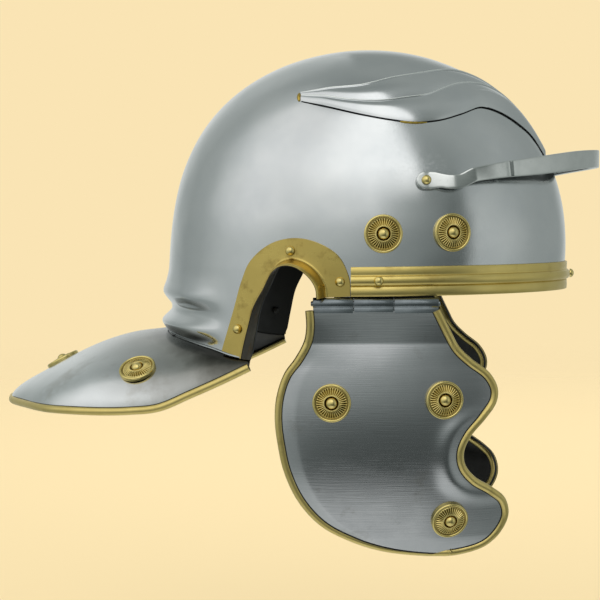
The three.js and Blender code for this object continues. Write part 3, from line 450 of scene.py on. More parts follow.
def metal(name, light, dark, rough, grain, grain_depth, cloud=18.0, stain=None, stain_share=0.0,
          stain_size=14.0, scratches=0.0, bloom=None, hollows=None):
    """Worked sheet metal: two close tones in soft clouds, roughness that drifts between two
    values, fine grain lines drawn out along one axis, and optional stains and stray scratches."""
    material = bpy.data.materials.new(name)
    tree = blank_tree(material)
    place = add(tree, "TexCoord", out="Object")
    clouds = noise(tree, place, 1 / (cloud * MM), 4.0, 0.55)
    drawn_out = tuple(1 / (g * MM) for g in grain)
    lines = add(tree, "VectorMath", {0: place, 1: drawn_out}, operation="MULTIPLY")
    height = lines = noise(tree, lines, 1.0, 3.0, 0.6)
    tone = blend(tree, clouds, tint(light), colour(dark))
    roughness = remap(tree, clouds, 0.3, 0.7, *rough)
    roughness = maths(tree, "MULTIPLY_ADD", maths(tree, "SUBTRACT", lines, 0.5), 0.16, roughness)
    if scratches:
        # Stray scratches: thin lines where a stretched noise crosses its middle value.
        cross = add(tree, "VectorMath", {0: place, 1: (90.0, 90.0, 420.0)}, operation="MULTIPLY")
        away = maths(tree, "SUBTRACT", noise(tree, cross, 1.0, 2.0, bend=1.5), 0.5)
        thin = remap(tree, maths(tree, "ABSOLUTE", away), 0.0, 0.006, 1.0, 0.0)
        patch = remap(tree, noise(tree, place, 26.0, 1.0), 0.52, 0.66, 0.0, scratches)
        height = maths(tree, "MULTIPLY_ADD", maths(tree, "MULTIPLY", thin, patch), -1.0, lines)
    if stain:
        spots = noise(tree, place, 1 / (stain_size * MM), 5.0, 0.65)
        edge = 0.5 + 0.25 * (0.5 - stain_share)
        share = remap(tree, spots, edge, edge + 0.16, 0.0, stain_share + 0.25)
        tone = blend(tree, share, tone, colour(stain))
        roughness = maths(tree, "MULTIPLY_ADD", share, 0.18, roughness)
    if hollows:
        # Painted shade in the hollows: darker where the mesh's attribute says so.
        tone = blend(tree, add(tree, "Attribute", out="Fac", attribute_name="hollow_painted_shade"), tone, colour(hollows))
    if bloom:
        # Painted shade where the neck guard meets the skull: a dark tone that fades with distance from
        # the skull's oval foot, over a narrow band of nearly black painted shadow.
        oval = add(tree, "VectorMath", {0: place, 1: (1 / (BACK * MM), 1 / (HALF_WIDTH * MM), 0.0),
                                        2: (-CENTRE_X / BACK, 0.0, 0.0)}, operation="MULTIPLY_ADD")
        far = add(tree, "VectorMath", {0: oval}, out="Value", operation="LENGTH")
        far = maths(tree, "MULTIPLY_ADD", clouds, 0.22, far)
        tone = blend(tree, remap(tree, far, 1.08, 1.62, 1.0, 0.0), tone, colour(bloom))
        tone = blend(tree, remap(tree, far, 1.09, 1.25, 0.9, 0.0), tone, colour("#22221F"))
    bump = add(tree, "Bump", {"Strength": 1.0, "Distance": grain_depth * MM, "Height": height})
    shader = add(tree, "BsdfPrincipled", {"Base Color": tone, "Roughness": roughness, "Metallic": 1.0,
                                          "Normal": bump})
    add(tree, "OutputMaterial", {"Surface": shader})
    return material


def paint(name, tone, rough):
    """Brushed-on paint: one colour with a slightly uneven, satin film."""
    material = bpy.data.materials.new(name)
    tree = blank_tree(material)
    film = noise(tree, add(tree, "TexCoord", out="Object"), 120.0, 4.0)
    roughness = remap(tree, film, 0.3, 0.7, rough, rough + 0.18)
    bump = add(tree, "Bump", {"Strength": 0.4, "Distance": 0.3 * MM, "Height": film})
    shader = add(tree, "BsdfPrincipled", {"Base Color": blend(tree, film, tint(tone), colour("#161817")),
                                          "Roughness": roughness, "Normal": bump, "IOR": 1.5})
    add(tree, "OutputMaterial", {"Surface": shader})
    return material


# Material name, light and dark tone, range of roughness, size of the grain along each axis and
# depth of the grain in millimetres, and what else the finish shows. Paints have only the name, the
# tone and the roughness. A tone given by name is one of the user's colours.
FINISHES = {
    # Hand-polished mild steel: satin, so lights show as soft-edged patches.
    "steel": ("hand_polished_steel", "skull_steel", "#C1C5C7", (0.11, 0.19), (0.5, 2.2, 2.2), 0.010,
              dict(cloud=26.0, scratches=0.6)),
    # Neck guard steel: the same sheet, a little duller, with faint brown stains and painted shade towards the
    # skull's foot.
    "neck_steel": ("hand_polished_steel_bloomed", "neck_steel", "#CDD0D0", (0.15, 0.22), (3.0, 1.0, 1.0),
                   0.012, dict(cloud=26.0, stain="#8C8068", stain_share=0.16, stain_size=46.0,
                               bloom="#6A685C")),
    # Belt-brushed steel: lines run along the hinge, so highlights smear up and down.
    "brushed": ("belt_brushed_steel", "cheek_steel", "#ADAFB1", (0.17, 0.25), (26.0, 26.0, 0.55), 0.04,
                dict(cloud=24.0, stain="#776E5A", stain_share=0.10, stain_size=26.0)),
    # Filed strap steel: greyer, with tiny pits.
    "strap": ("filed_strap_steel", "#D6D8D5", "#C2C5C2", (0.12, 0.2), (5.0, 5.0, 1.0), 0.012,
              dict(cloud=9.0, stain="#7B7E78", stain_share=0.06, stain_size=2.0)),
    # Hinge steel: dark from the rolls, rubbed bright on the outside.
    "hinge": ("rolled_hinge_steel", "#8D9496", "#5A6064", (0.2, 0.32), (9.0, 9.0, 0.7), 0.02,
              dict(cloud=8.0)),
    # Crests of the eyebrows: rubbed dull by handling, so they catch light from all sides, and painted near
    # white, a painted highlight along each crest.
    "edge": ("rubbed_edge_steel", "#F0F2F0", "#DADDDA", (0.36, 0.46), (2.0, 2.0, 2.0), 0.01,
             dict(cloud=5.0)),
    # Sheet brass, polished and then handled: greenish yellow, with brown tarnish in clouds.
    "brass": ("polished_sheet_brass", "sheet_brass", "#BCA35A", (0.26, 0.36), (9.0, 9.0, 1.2), 0.012,
              dict(cloud=16.0, stain="#6B5026", stain_share=0.34, stain_size=13.0)),
    # Brow band: the same brass worn soft by handling, which spreads the light into broad bands.
    "band": ("worn_band_brass", "band_brass", "#D0B868", (0.29, 0.38), (9.0, 9.0, 1.2), 0.014,
             dict(cloud=20.0, stain="#8A6E34", stain_share=0.10, stain_size=18.0)),
    # Brass channel of the rims, rolled over the edge by hand and rubbed bright on top.
    "rim": ("rolled_brass_channel", "rim_brass", "#CFB96E", (0.32, 0.42), (3.0, 3.0, 3.0), 0.012,
            dict(cloud=12.0, stain="#6E5A2C", stain_share=0.16, stain_size=11.0)),
    # Spun brass of the rosettes and rivets: brighter, and darkened in its hollows as painted shade.
    "spun": ("spun_brass", "rosette_brass", "#D4BF72", (0.2, 0.28), (2.0, 2.0, 2.0), 0.006,
             dict(cloud=7.0, stain="#8A6C32", stain_share=0.06, stain_size=6.0, hollows="#4A3A16")),
    # Inner face of the ear flange: the brass painted dark brown-grey and dull, a painted shade for the face
    # that stands in shadow.
    "flange_painted_shade": ("tarnished_brass", "#6E675A", "#4B443A", (0.34, 0.46), (6.0, 6.0, 2.0), 0.02,
                  dict(cloud=9.0, stain="#8F6A34", stain_share=0.2, stain_size=7.0)),
    # Weld metal in frozen drops, bright and dark, and the yellow metal of the brazing.
    "weld": ("weld_bead", "#A5A9A9", "#4E5254", (0.14, 0.3), (2.0, 2.0, 2.0), 0.03, dict(cloud=3.0)),
    "braze": ("braze_spot", "#CDB257", "#A88B3A", (0.28, 0.4), (2.0, 2.0, 2.0), 0.03, dict(cloud=3.0)),
    # A dark, dull steel tone on the strap's inner face.
    "scale": ("forge_scale", "#5B5E5C", "#3A3D3C", (0.36, 0.5), (3.0, 3.0, 3.0), 0.03, dict(cloud=6.0)),
    # Near-black paint laid as a painted shadow in the joints under the rolled rims and in the undercut under
    # the eyebrows.
    "painted_shadow": ("joint_grime", "#17140E", 0.6, {}),
    # Black stoving paint on every inner face.
    "black": ("black_stoving_paint", "inner_paint", 0.34, {}),
}


def finish(key):
    """Material of a finish, made the first time it is asked for."""
    *recipe, more = FINISHES[key]
    maker = metal if more else paint
    return bpy.data.materials.get(recipe[0]) or maker(*recipe, **more)


# ---------------------------------------------------------------- operators

class HELMET_OT_skull(bpy.types.Operator):
    """Skull shell with its ear openings and nape ribs"""
    bl_idname = "helmet.skull"
    bl_label = "Skull"
    bl_options = {"REGISTER", "UNDO"}

    def execute(self, context):
        angle, low = lower_edge(64, 64, 76)
        angle = np.r_[angle, -angle[-2:0:-1]]
        low = np.r_[low, low[-2:0:-1]]
        step = np.linspace(0, 1, 131)[None]
        wall = low[:, None] + (WALL_TOP - low[:, None]) * step / WALL_SHARE
        rise = np.clip((step - WALL_SHARE) / (1 - WALL_SHARE), 0, 1)
        dome = WALL_TOP + (CROWN - WALL_TOP) * np.sin(rise * pi / 2)
        z = np.where(step < WALL_SHARE, wall, dome)
        outer = skull_point(angle[:, None], z)
        drop = (CROWN - SKULL_WALL - DOME_BASE) / (CROWN - DOME_BASE)
        z_in = z[:, ::4]
        z_in = np.where(z_in > DOME_BASE, DOME_BASE + (z_in - DOME_BASE) * drop, z_in)
        inner = skull_point(angle[:, None], np.where(z_in >= z_in.max() - 1e-6, CROWN - SKULL_WALL, z_in),
                            -SKULL_WALL)[:, ::-1]
        # Hammering leaves the dome very slightly uneven.
        wave = 0.08 * ripple(outer, 46.0) + 0.04 * ripple(outer, 21.0, 3.0)
        lift = (wave * (z < 135))[..., None]
        outer = outer + skull_normal(angle[:, None], np.minimum(z, CROWN - 0.5)) * lift
        grid = np.concatenate([outer, inner], 1)
        slots = two_sided(outer, inner)
        surface("skull_shell", grid, ("steel", "black"), BOWL_STEEL, slots,
                round_way=True, skip=(outer.shape[1] - 1,), weld=True, sharp=50.0)
        return {"FINISHED"}


def neck_grid(stations, reaches):
    """Middle surface of the neck guard: in plan, straight lines fan out from the skull to the
    edge; its height is the arch of neck_height."""
    station = np.linspace(0, 1, stations)
    share = 1 - np.abs(2 * station - 1)
    even = np.linspace(0, 1, len(NECK_RIM_LINE))
    outer = read_off(share, even, NECK_RIM_LINE)
    first = angle_at(NAPE_START_X, 0.0)
    turn = first + (pi - first) * share ** NECK_FAN
    inner = skull_point(turn, nape_foot(turn), -SKULL_WALL)
    reach = np.sin(np.linspace(0, 1, reaches) * pi / 2)[None, :, None]
    plan = inner[:, None] * (1 - reach) + outer[:, None] * reach
    height = neck_height(plan[..., 0], plan[..., 1])
    height[:, -1] = outer[:, 2]
    grid = np.stack([plan[..., 0], plan[..., 1], height], -1)
    grid[..., 1] *= np.where(station < 0.5, -1.0, 1.0)[:, None]
    return grid


def grid_normals(grid, facing=(0.0, 0.0, 1.0)):
    """Unit normals of a grid, from its differences both ways, turned to a side."""
    normal = unit(np.cross(np.gradient(grid, axis=0), np.gradient(grid, axis=1)))
    return np.where((normal @ np.array(facing))[..., None] < 0, -normal, normal)


def rolled_rim(name, line, inward, facing, radius, body, node, side=None):
    """Brass tube along a plate's edge, painted on its inner half, with a near-black thread along the
    joint where it meets the plate's face, a painted shadow."""
    turn_in = (lambda points: points) if side is None else (lambda points: to_frame(points, side))
    section = ring(radius, 24)
    slots = ((section[:, 1] < -0.3 * radius) & (section[:, 0] > 0.4 * radius)).astype(int)
    tube = turn_in(sweep(line, inward, facing, section))
    surface(f"{name}_rolled_rim", tube, ("rim", "black"), (body, "brass", node), slots)
    # The thread in the joint is painted shadow.
    joint = line + inward * (radius - 0.12) + facing * (CHEEK_WALL / 2 + 0.1)
    joint = turn_in(sweep(joint, inward, facing, ring(0.3, 8)))
    surface(f"{name}_rim_joint", joint, ("painted_shadow",), (body, "brass", node))


class HELMET_OT_neck_guard(bpy.types.Operator):
    """Neck guard plate, its rolled brass rim and the weld where it joins the skull"""
    bl_idname = "helmet.neck_guard"
    bl_label = "Neck guard"
    bl_options = {"REGISTER", "UNDO"}

    def execute(self, context):
        sizes = context.scene.helmet_sizes
        grid = neck_grid(NECK_STATIONS, 46)
        normal = grid_normals(grid)
        wave = (0.12 * ripple(grid, 60.0, 2.0))[..., None]
        top = grid + normal * (NECK_WALL / 2 + wave)
        under = grid - normal * NECK_WALL / 2
        loop = np.concatenate([top, under[:, ::-1]], 1)
        slots = two_sided(top, under)
        surface("neck_guard_plate", loop, ("neck_steel", "black"), BOWL_STEEL, slots, weld=True)

        edge, along = grid[:, -1], tangents(grid[:, -1])
        inward = unit(grid[:, -6] - edge)
        inward = unit(inward - along * (inward * along).sum(-1, keepdims=True))
        upward = np.cross(inward, along)
        rolled_rim("neck_guard", edge, inward, upward, sizes.rim_radius * 1000, "helmet", "neck_guard_rim")

        # The weld follows the skull's foot, thick in places and thin in others.
        foot = grid[:, 0] + normal[:, 0] * NECK_WALL / 2
        turn = np.arctan2(foot[:, 1] / HALF_WIDTH, (foot[:, 0] - CENTRE_X) / BACK)
        seam = skull_point(turn, foot[:, 2] + 0.6)
        outward = unit((seam - [CENTRE_X, 0, 0]) * [1, 1, 0])
        along = tangents(seam)
        upward = unit(np.cross(along, outward))
        swell = smoothstep(ripple(seam, 23.0, 1.0), 0.25, 0.9)
        lumps = 0.15 * ripple(seam, 2.6, 4.0)
        thick = (0.3 + 0.75 * swell * (1 + 2 * lumps) + 0.3 * lumps)[:, None, None]
        bead = sweep(seam, outward, upward, ring(1.0, 10)[None] * thick)
        surface("nape_weld", bead, ("weld",), BOWL_STEEL)
        return {"FINISHED"}


class HELMET_OT_eyebrows(bpy.types.Operator):
    """Layered eyebrow plates, each with three crests, brazed to the skull"""
    bl_idname = "helmet.eyebrows"
    bl_label = "Eyebrows"
    bl_options = {"REGISTER", "UNDO"}

    def execute(self, context):
        sizes = context.scene.helmet_sizes
        count = 260
        top, ridge, low = (curve(line, count) for line in (BROW_TOP, BROW_RIDGE, BROW_LOWER))
        way = np.linspace(0, 1, count)[:, None]
        size = (0.6 + 0.4 * smoothstep(way, 0.0, 0.10)) * (1 - 0.5 * smoothstep(way, 0.72, 1.0))
        proud = sizes.brow_relief * 1000
        # Each layer starts with a thin raised lip, then swells like a pillow: it faces up just
        # below the lip and down at its foot, where the next lip stands up like a step.
        edges = [skull_point(np.radians(line[:, 0]), line[:, 1]) for line in (top, ridge, low)]
        upper, high = self.leaf(np.linalg.norm(edges[1] - edges[0], axis=1), 0.78 * proud, 0.12 * proud)
        lower, deep = self.leaf(np.linalg.norm(edges[2] - edges[1], axis=1), proud, 0.42 * proud)
        tooth = smoothstep(lower, 0.37, 0.42) * (1 - smoothstep(lower, 0.42, 0.85))
        deep = deep + 0.7 * tooth * smoothstep(way, 0.54, 0.68)
        place = np.concatenate([top[:, None] * (1 - upper[..., None]) + ridge[:, None] * upper[..., None],
                                ridge[:, None] * (1 - lower[..., None]) + low[:, None] * lower[..., None]], 1)
        rise = np.concatenate([high * size, deep * size], 1)
        # The lower edge is rounded, then undercut down to the skull, which leaves a dark gap.
        turn_down = np.array([[0, -0.22], [0, -0.30], [0, 0.35], [0, 0.5]])
        place = np.concatenate([place, place[:, -1:] + turn_down], 1)
        rise = np.concatenate([rise, rise[:, -1:] * np.array([[0.92, 0.7, 0.45, 0.0]]) - [[0, 0, 0, 0.6]]], 1)
        angle, z = np.radians(place[..., 0]), place[..., 1]
        base, normal = skull_point(angle, z), skull_normal(angle, z)
        face = base + normal * rise[..., None]
        root = base[:, [-1, 0]] - normal[:, [-1, 0]] * 1.0
        slots = np.zeros(face.shape[1] + 2, int)
        # The lower part of the rounded edge, the undercut wall and the root are painted near black, a painted
        # shadow in the gap.
        slots[face.shape[1] - 3:] = 1
        # The riser and lip of each layer take the near-white crest steel, a painted highlight along the
        # crests.
        for first in (0, upper.shape[1]):
            slots[first:first + 4] = 2
        for name, side in SIDES:
            grid = np.concatenate([face, root], 1) * [1.0, side, 1.0]
            surface(f"eyebrow_{name}", grid, ("steel", "painted_shadow", "edge"), BOWL_STEEL, slots, weld=True,
                    sharp=50.0)
            self.braze(name, side, low, top)
        return {"FINISHED"}

    def leaf(self, width, crest, foot):
        """Shares across one layer and its heights: a riser, a lip one millimetre wide, then a
        fall from crest to foot as a power of the share, plus a parabola for the swelling."""
        fixed = np.array([0.0, 0.05, 0.15, 0.4, 0.85, 1.1, 1.4])
        room = np.clip(width / 5.0, 0.2, 1.0)[:, None]
        lip = fixed[None] * room / width[:, None]
        rest = np.linspace(0, 1, 30)[None, 1:]
        share = np.concatenate([lip, lip[:, -1:] + (1 - lip[:, -1:]) * rest], 1)
        past = np.clip((share - lip[:, -1:]) / (1 - lip[:, -1:]), 0, 1)
        bottom = crest - 0.6 * room
        body = bottom + (foot - bottom) * past ** 2.4 + 0.17 * width[:, None] * past * (1 - past)
        rim = np.array([-0.6, 0.6, 0.92, 1.0, 0.7, 0.1, 0.0])[None]
        body[:, :len(fixed)] = bottom + (crest - bottom) * rim
        body[:, 0] = 0.05
        return share, body

    def braze(self, name, side, low, top):
        """Braze metal shows as a run under the lower edge and a cap on the back tip: each is a
        tube on the skull that swells as a power of a sine."""
        under = low[(low[:, 0] < 76.5) & (low[:, 0] > 67.5)]
        across = np.linspace(low[0], top[0], 9)
        # Name, line, its shift in angle and height, radius, power, unevenness, start and end of the sine.
        for label, line, shift, radius, power, uneven, ends in (
                ("run", under, (0.0, -0.4), 0.85, 0.35, 0.18, (0.12, 0.05)),
                ("tip", across, (0.8, 0.0), 1.25, 0.5, 0.0, (0.2, 0.2))):
            path = np.radians(line[:, 0] + shift[0]), line[:, 1] + shift[1]
            spot, out = skull_point(*path), skull_normal(*path)
            swell = np.sin(np.linspace(ends[0], pi - ends[1], len(spot))) ** power
            swell = (swell * (1 + uneven * ripple(spot, 3.0)))[:, None, None]
            tube = sweep(spot, out, np.cross(tangents(spot), out), ring(radius, 10)[None] * swell)
            surface(f"braze_{label}_{name}", tube * [1.0, side, 1.0], ("braze",), ("helmet", "brass", "bowl"))


class HELMET_OT_ear_guards(bpy.types.Operator):
    """Brass ear guards: a plate on the skull with a flange standing out round the opening"""
    bl_idname = "helmet.ear_guards"
    bl_label = "Ear guards"
    bl_options = {"REGISTER", "UNDO"}

    def execute(self, context):
        sizes = context.scene.helmet_sizes
        count = 150
        root = curve(EAR_EDGE + (EAR_FOOT,), count, spaced=False)
        outer = curve(EAR_OUTER + (EAR_OUTER_FOOT,), count, spaced=False)
        away = outer - root
        width = np.linalg.norm(away, axis=1, keepdims=True)
        away = away / width
        tip = np.array(EAR_MIDDLE) - root
        tip[:, 1] = np.maximum(tip[:, 1], -30)
        tip = unit(tip) * EAR_LEAN
        low, high, top = GAP, GAP + EAR_WALL, GAP + EAR_WALL + sizes.ear_flange * 1000
        bend = 1.5
        turn = np.linspace(0, pi / 2, 7)
        # Profile: share of the plate's width, extra distance away, height and lean. It runs out
        # under the plate, back over it, up a fillet and over the flange.
        plate = [(0, 0, low, 0), (0.4, 0, low, 0), (0.985, 0, low, 0), (1.0, 0, low + 0.35, 0),
                 (1.0, 0, high - 0.35, 0), (0.985, 0, high, 0), (0.7, 0, high, 0), (0.45, 0, high, 0)]
        fillet = [(0, EAR_WALL + bend * (1 - sin(t)), high + bend * (1 - cos(t)), 0.1 * sin(t))
                  for t in turn]
        flange = [(0, EAR_WALL, top * 0.5, 0.5), (0, EAR_WALL, top - 0.4, 1.0),
                  (0, EAR_WALL - 0.35, top, 1.0), (0, 0.35, top, 1.0), (0, 0, top - 0.4, 1.0),
                  (0, 0, top * 0.5, 0.5), (0, 0, high + 0.6, 0.08)]
        profile = np.array(plate + fillet + flange)
        share, extra, stand, lean = (profile[:, k][None, :, None] for k in range(4))
        flat = root[:, None] + away[:, None] * (share * width[:, None] + extra) + tip[:, None] * lean
        slots = np.zeros(len(profile), int)
        # The flange's inner face takes the dark brass, painted shade.
        slots[-4:] = 1
        for name, side in SIDES:
            grid, _ = skull_seat(flat[..., 0], flat[..., 1], side, stand[0, :, 0][None])
            surface(f"ear_guard_plate_{name}", grid, ("brass", "flange_painted_shade"),
                    ("helmet", "brass", f"ear_guard_{name}"), slots)
        return {"FINISHED"}


class HELMET_OT_brow_band(bpy.types.Operator):
    """Brass brow band with a half-round bead and a lower strip.

    A profile of stand-off and height, whose bead is half an ellipse, is carried round the skull
    along its outward direction."""
    bl_idname = "helmet.brow_band"
    bl_label = "Brow band"
    bl_options = {"REGISTER", "UNDO"}

    def execute(self, context):
        face = GAP + BAND_WALL
        turn = np.linspace(-pi / 2, pi / 2, 15)
        bead = [(face + BEAD_RISE * cos(t), BEAD_Z + BEAD_HALF * sin(t)) for t in turn]
        low, high = BEAD_Z - BEAD_HALF, BEAD_Z + BEAD_HALF
        profile = [(GAP, 0.2), (GAP + 0.2, 0), (face - 0.25, 0), (face, 0.25), (face + 0.12, 2.6),
                   (face, low - 0.7), (face - 0.3, low - 0.35), *bead, (face - 0.12, high + 0.3),
                   (face, high + 0.9), (face, BAND_HEIGHT - 0.3), (face - 0.25, BAND_HEIGHT),
                   (GAP, BAND_HEIGHT)]
        profile = np.array(profile)
        end = angle_at(BAND_END_X - 0.6, 0.0)
        angle = np.linspace(-end, end, 260)
        base = rim_height(skull_point(angle, 0.0)[:, 0])
        normal = skull_normal(np.abs(angle), np.zeros_like(angle)) * mirrored(angle)
        spots = skull_point(angle[:, None], base[:, None] + profile[None, :, 1])
        grid = spots + normal[:, None] * profile[None, :, :1]
        surface("brow_band_beaded", grid, ("band",), ("helmet", "brass", "brow_band"), sharp=55.0)
        return {"FINISHED"}


class HELMET_OT_peak_strap(bpy.types.Operator):
    """Steel peak guard: a strap bent on edge from a round tab at each side.

    A rounded rectangle is carried along a smooth line through the points of its way. Its height
    is a circle's chord at the tab and blends into the strap's own height. It faces as the skull
    does near the tab, and level and outward further on."""
    bl_idname = "helmet.peak_strap"
    bl_label = "Peak strap"
    bl_options = {"REGISTER", "UNDO"}

    def execute(self, context):
        tab = np.array([PEAK_RIVET_X - PEAK_TAB_R, PEAK_RIVET_X, 41.0, 49.0])
        on_skull, _ = skull_seat(tab, PEAK_TAB_Z, 1.0, GAP + PEAK_WALL / 2)
        half = np.vstack([on_skull, PEAK_WAY])
        whole = np.vstack([half, half[-2::-1] * [1, -1, 1]])
        way = curve(whole, 2001)
        length = np.linalg.norm(np.diff(way, axis=0), axis=1).sum()
        share = 0.5 - 0.5 * np.cos(pi * np.linspace(0, 1, 321))
        index = np.linspace(0, 1, len(way))
        path = read_off(share, index, way)
        tangent = np.gradient(way, axis=0)
        along = unit(read_off(share, index, tangent))
        flat = path - [CENTRE_X, 0, 0]
        flat = flat - along * (flat * along).sum(-1, keepdims=True)
        flat = unit(flat * [1, 1, 0])
        from_end = length * np.minimum(share, 1 - share)
        clear = smoothstep(from_end, PEAK_LIE_END, PEAK_CLEAR)[:, None]
        x = np.minimum(path[:, 0], PEAK_WAY[0][0])
        lying = skull_normal(angle_at(x, path[:, 2]), path[:, 2]) * mirrored(path[:, 1])
        out = unit(lying * (1 - clear) + flat * clear)
        up = unit(np.cross(along, out))
        up = np.where(up[:, 2:] < 0, -up, up)
        reach = np.minimum(from_end, PEAK_TAB_R)
        round_end = np.sqrt(np.maximum(0.02, PEAK_TAB_R ** 2 - (PEAK_TAB_R - reach) ** 2))
        strap = PEAK_SIDE_TALL + (PEAK_FRONT_TALL - PEAK_SIDE_TALL) * smoothstep(path[:, 0], 50, 110)
        neck = smoothstep(from_end, PEAK_TAB_R * 1.4, PEAK_TAB_R * 3)
        tall = (round_end * (1 - neck) + strap / 2 * neck)[:, None, None]
        # The strap kinks out where it leaves the skull, comes back in, and has one sharp dent.
        kink = PEAK_KINK * smoothstep(from_end, 6.0, 22) * np.interp(from_end, [0, 33, 62], [1, 1, 0])
        kink = kink - PEAK_DENT * np.exp(-((from_end - DENT_FROM_END) / DENT_HALF) ** 2)
        dip = PEAK_DIP * smoothstep(from_end, 10, 18) * (1 - smoothstep(from_end, 22, 36))
        path = path + out * kink[:, None] - up * dip[:, None]
        section = rounded([(-1, -1), (1, -1), (1, 1), (-1, 1)], 0.32, 4)
        edge = np.array([PEAK_WALL / 2, 1.0])
        profile = section[None] * np.concatenate([np.full_like(tall, edge[0]), tall], -1)
        slots = np.zeros(len(section), int)
        # The section's last step, on the strap's inner face, takes the dark strap steel.
        slots[-1] = 1
        surface("peak_strap", sweep(path, out, up, profile), ("strap", "scale"),
                ("helmet", "polished_steel", "peak_guard"), slots, sharp=50.0)
        return {"FINISHED"}


def cheek_stand(u, w):
    """Stand-off of the cheek plate from the hinge's plane: nearly flat from the hinge down to a
    crease, then a bow, half a sine less a square that tucks it in towards the chin, and a curl
    away towards both edges that grows as the square of u."""
    down, crease = w / CHEEK_LENGTH, CREASE_W / CHEEK_LENGTH
    bow = CHEEK_BOW * np.sin(pi * np.clip(down, 0, 1.1)) - CHEEK_TUCK * down ** 2
    curl = CHEEK_CURL * u ** 2 * smoothstep(w, CHEEK_TOP, 35.0)
    at_crease = CHEEK_BOW * sin(pi * crease) - CHEEK_TUCK * crease ** 2
    below = bow - (at_crease - CREASE_STAND) * np.exp(-np.maximum(w - CREASE_W, 0) / 13.0)
    above = HINGE_STAND + (CREASE_STAND - HINGE_STAND) * (w - CHEEK_TOP) / (CREASE_W - CHEEK_TOP)
    return above + (below - above) * smoothstep(w, CREASE_W - 0.9, CREASE_W + 0.9) - curl


def cheek_point(u, w, side, stand=None):
    u, w = np.broadcast_arrays(np.asarray(u, float), np.asarray(w, float))
    out = cheek_stand(u, w) if stand is None else stand
    return np.stack([u, out * side + 0 * u, -w], -1)


def to_frame(points, side):
    """Carries points from a hinge's frame into the helmet's: a turn about Z and a shift."""
    turn = -HINGE_TURN * side
    c, s = cos(turn), sin(turn)
    x, y, z = points[..., 0], points[..., 1], points[..., 2]
    return np.stack([c * x - s * y + HINGE_CENTRE[0], s * x + c * y + HINGE_CENTRE[1] * side,
                     z + HINGE_CENTRE[2]], -1)


def turn_only(vectors, side):
    """Carries directions from a hinge's frame into the helmet's: the turn without the shift."""
    centre = to_frame(np.zeros(3), side)
    return to_frame(vectors, side) - centre


def cheek_rows(count):
    """Level, back edge and front edge of rows down the cheek plate, closest where the outline
    is busiest."""
    edge = curve(CHEEK_EDGE, 2400)
    lowest = int(np.argmax(edge[:, 1]))
    back, front = edge[:lowest + 1], edge[lowest:][::-1]
    places = resample(front, count + 1)[:-1]
    level = np.minimum(places[:, 1], edge[lowest, 1] - 0.25)
    level = np.r_[level, edge[lowest, 1] - 0.08]
    return level, np.interp(level, back[:, 1], back[:, 0]), np.interp(level, front[:, 1], front[:, 0])


class HELMET_OT_cheek_guards(bpy.types.Operator):
    """Steel cheek guards with their crease, dish and rolled brass rims"""
    bl_idname = "helmet.cheek_guards"
    bl_label = "Cheek guards"
    bl_options = {"REGISTER", "UNDO"}

    def execute(self, context):
        sizes = context.scene.helmet_sizes
        level, back, front = cheek_rows(190)
        across = np.linspace(0, 1, 91)[None]
        u = back[:, None] * (1 - across) + front[:, None] * across
        w = level[:, None] + 0 * across
        stand = cheek_stand(u, w)
        reach_back = np.clip(1 - (u - back[:, None]) / CURL_BACK[1], 0, 1)
        reach_low = np.clip(1 - (level[-1] - w) / CURL_LOW[1], 0, 1)
        curl = CURL_BACK[0] * reach_back ** 1.25 * smoothstep(w, 24, 46)
        stand = stand - curl - CURL_LOW[0] * reach_low ** 1.25
        # A raised crescent follows the notch at the front.
        notch = np.hypot(u - NOTCH_MIDDLE[0], w - NOTCH_MIDDLE[1])
        crescent = np.exp(-((notch - CRESCENT_R) / CRESCENT_HALF) ** 2) * smoothstep(w, 52, 70)
        stand = stand + CRESCENT_RISE * (crescent * (1 - smoothstep(w, 98, 116)))
        for name, side in SIDES:
            middle = cheek_point(u, w, side, stand)
            normal = grid_normals(middle, (0.0, side, 0.0))
            face = middle + normal * CHEEK_WALL / 2
            inside = middle - normal * CHEEK_WALL / 2
            grid = to_frame(np.concatenate([face, inside[:, ::-1]], 1), side)
            slots = two_sided(face, inside)
            surface(f"cheek_plate_{name}", grid, ("brushed", "black"),
                    (f"cheek_{name}", "polished_steel", f"cheek_guard_{name}"), slots)

            line = np.vstack([middle[:, 0], middle[::-1, -1]])
            facing = np.vstack([normal[:, 0], normal[::-1, -1]])
            keep = resample(np.hstack([line, facing]), 420)
            line, facing = keep[:, :3], unit(keep[:, 3:])
            along = tangents(line)
            inward = unit(np.cross(facing, along))
            rolled_rim(f"cheek_{name}", line, inward, facing, sizes.rim_radius * 1000, f"cheek_{name}",
                       f"cheek_rim_{name}", side)
        return {"FINISHED"}


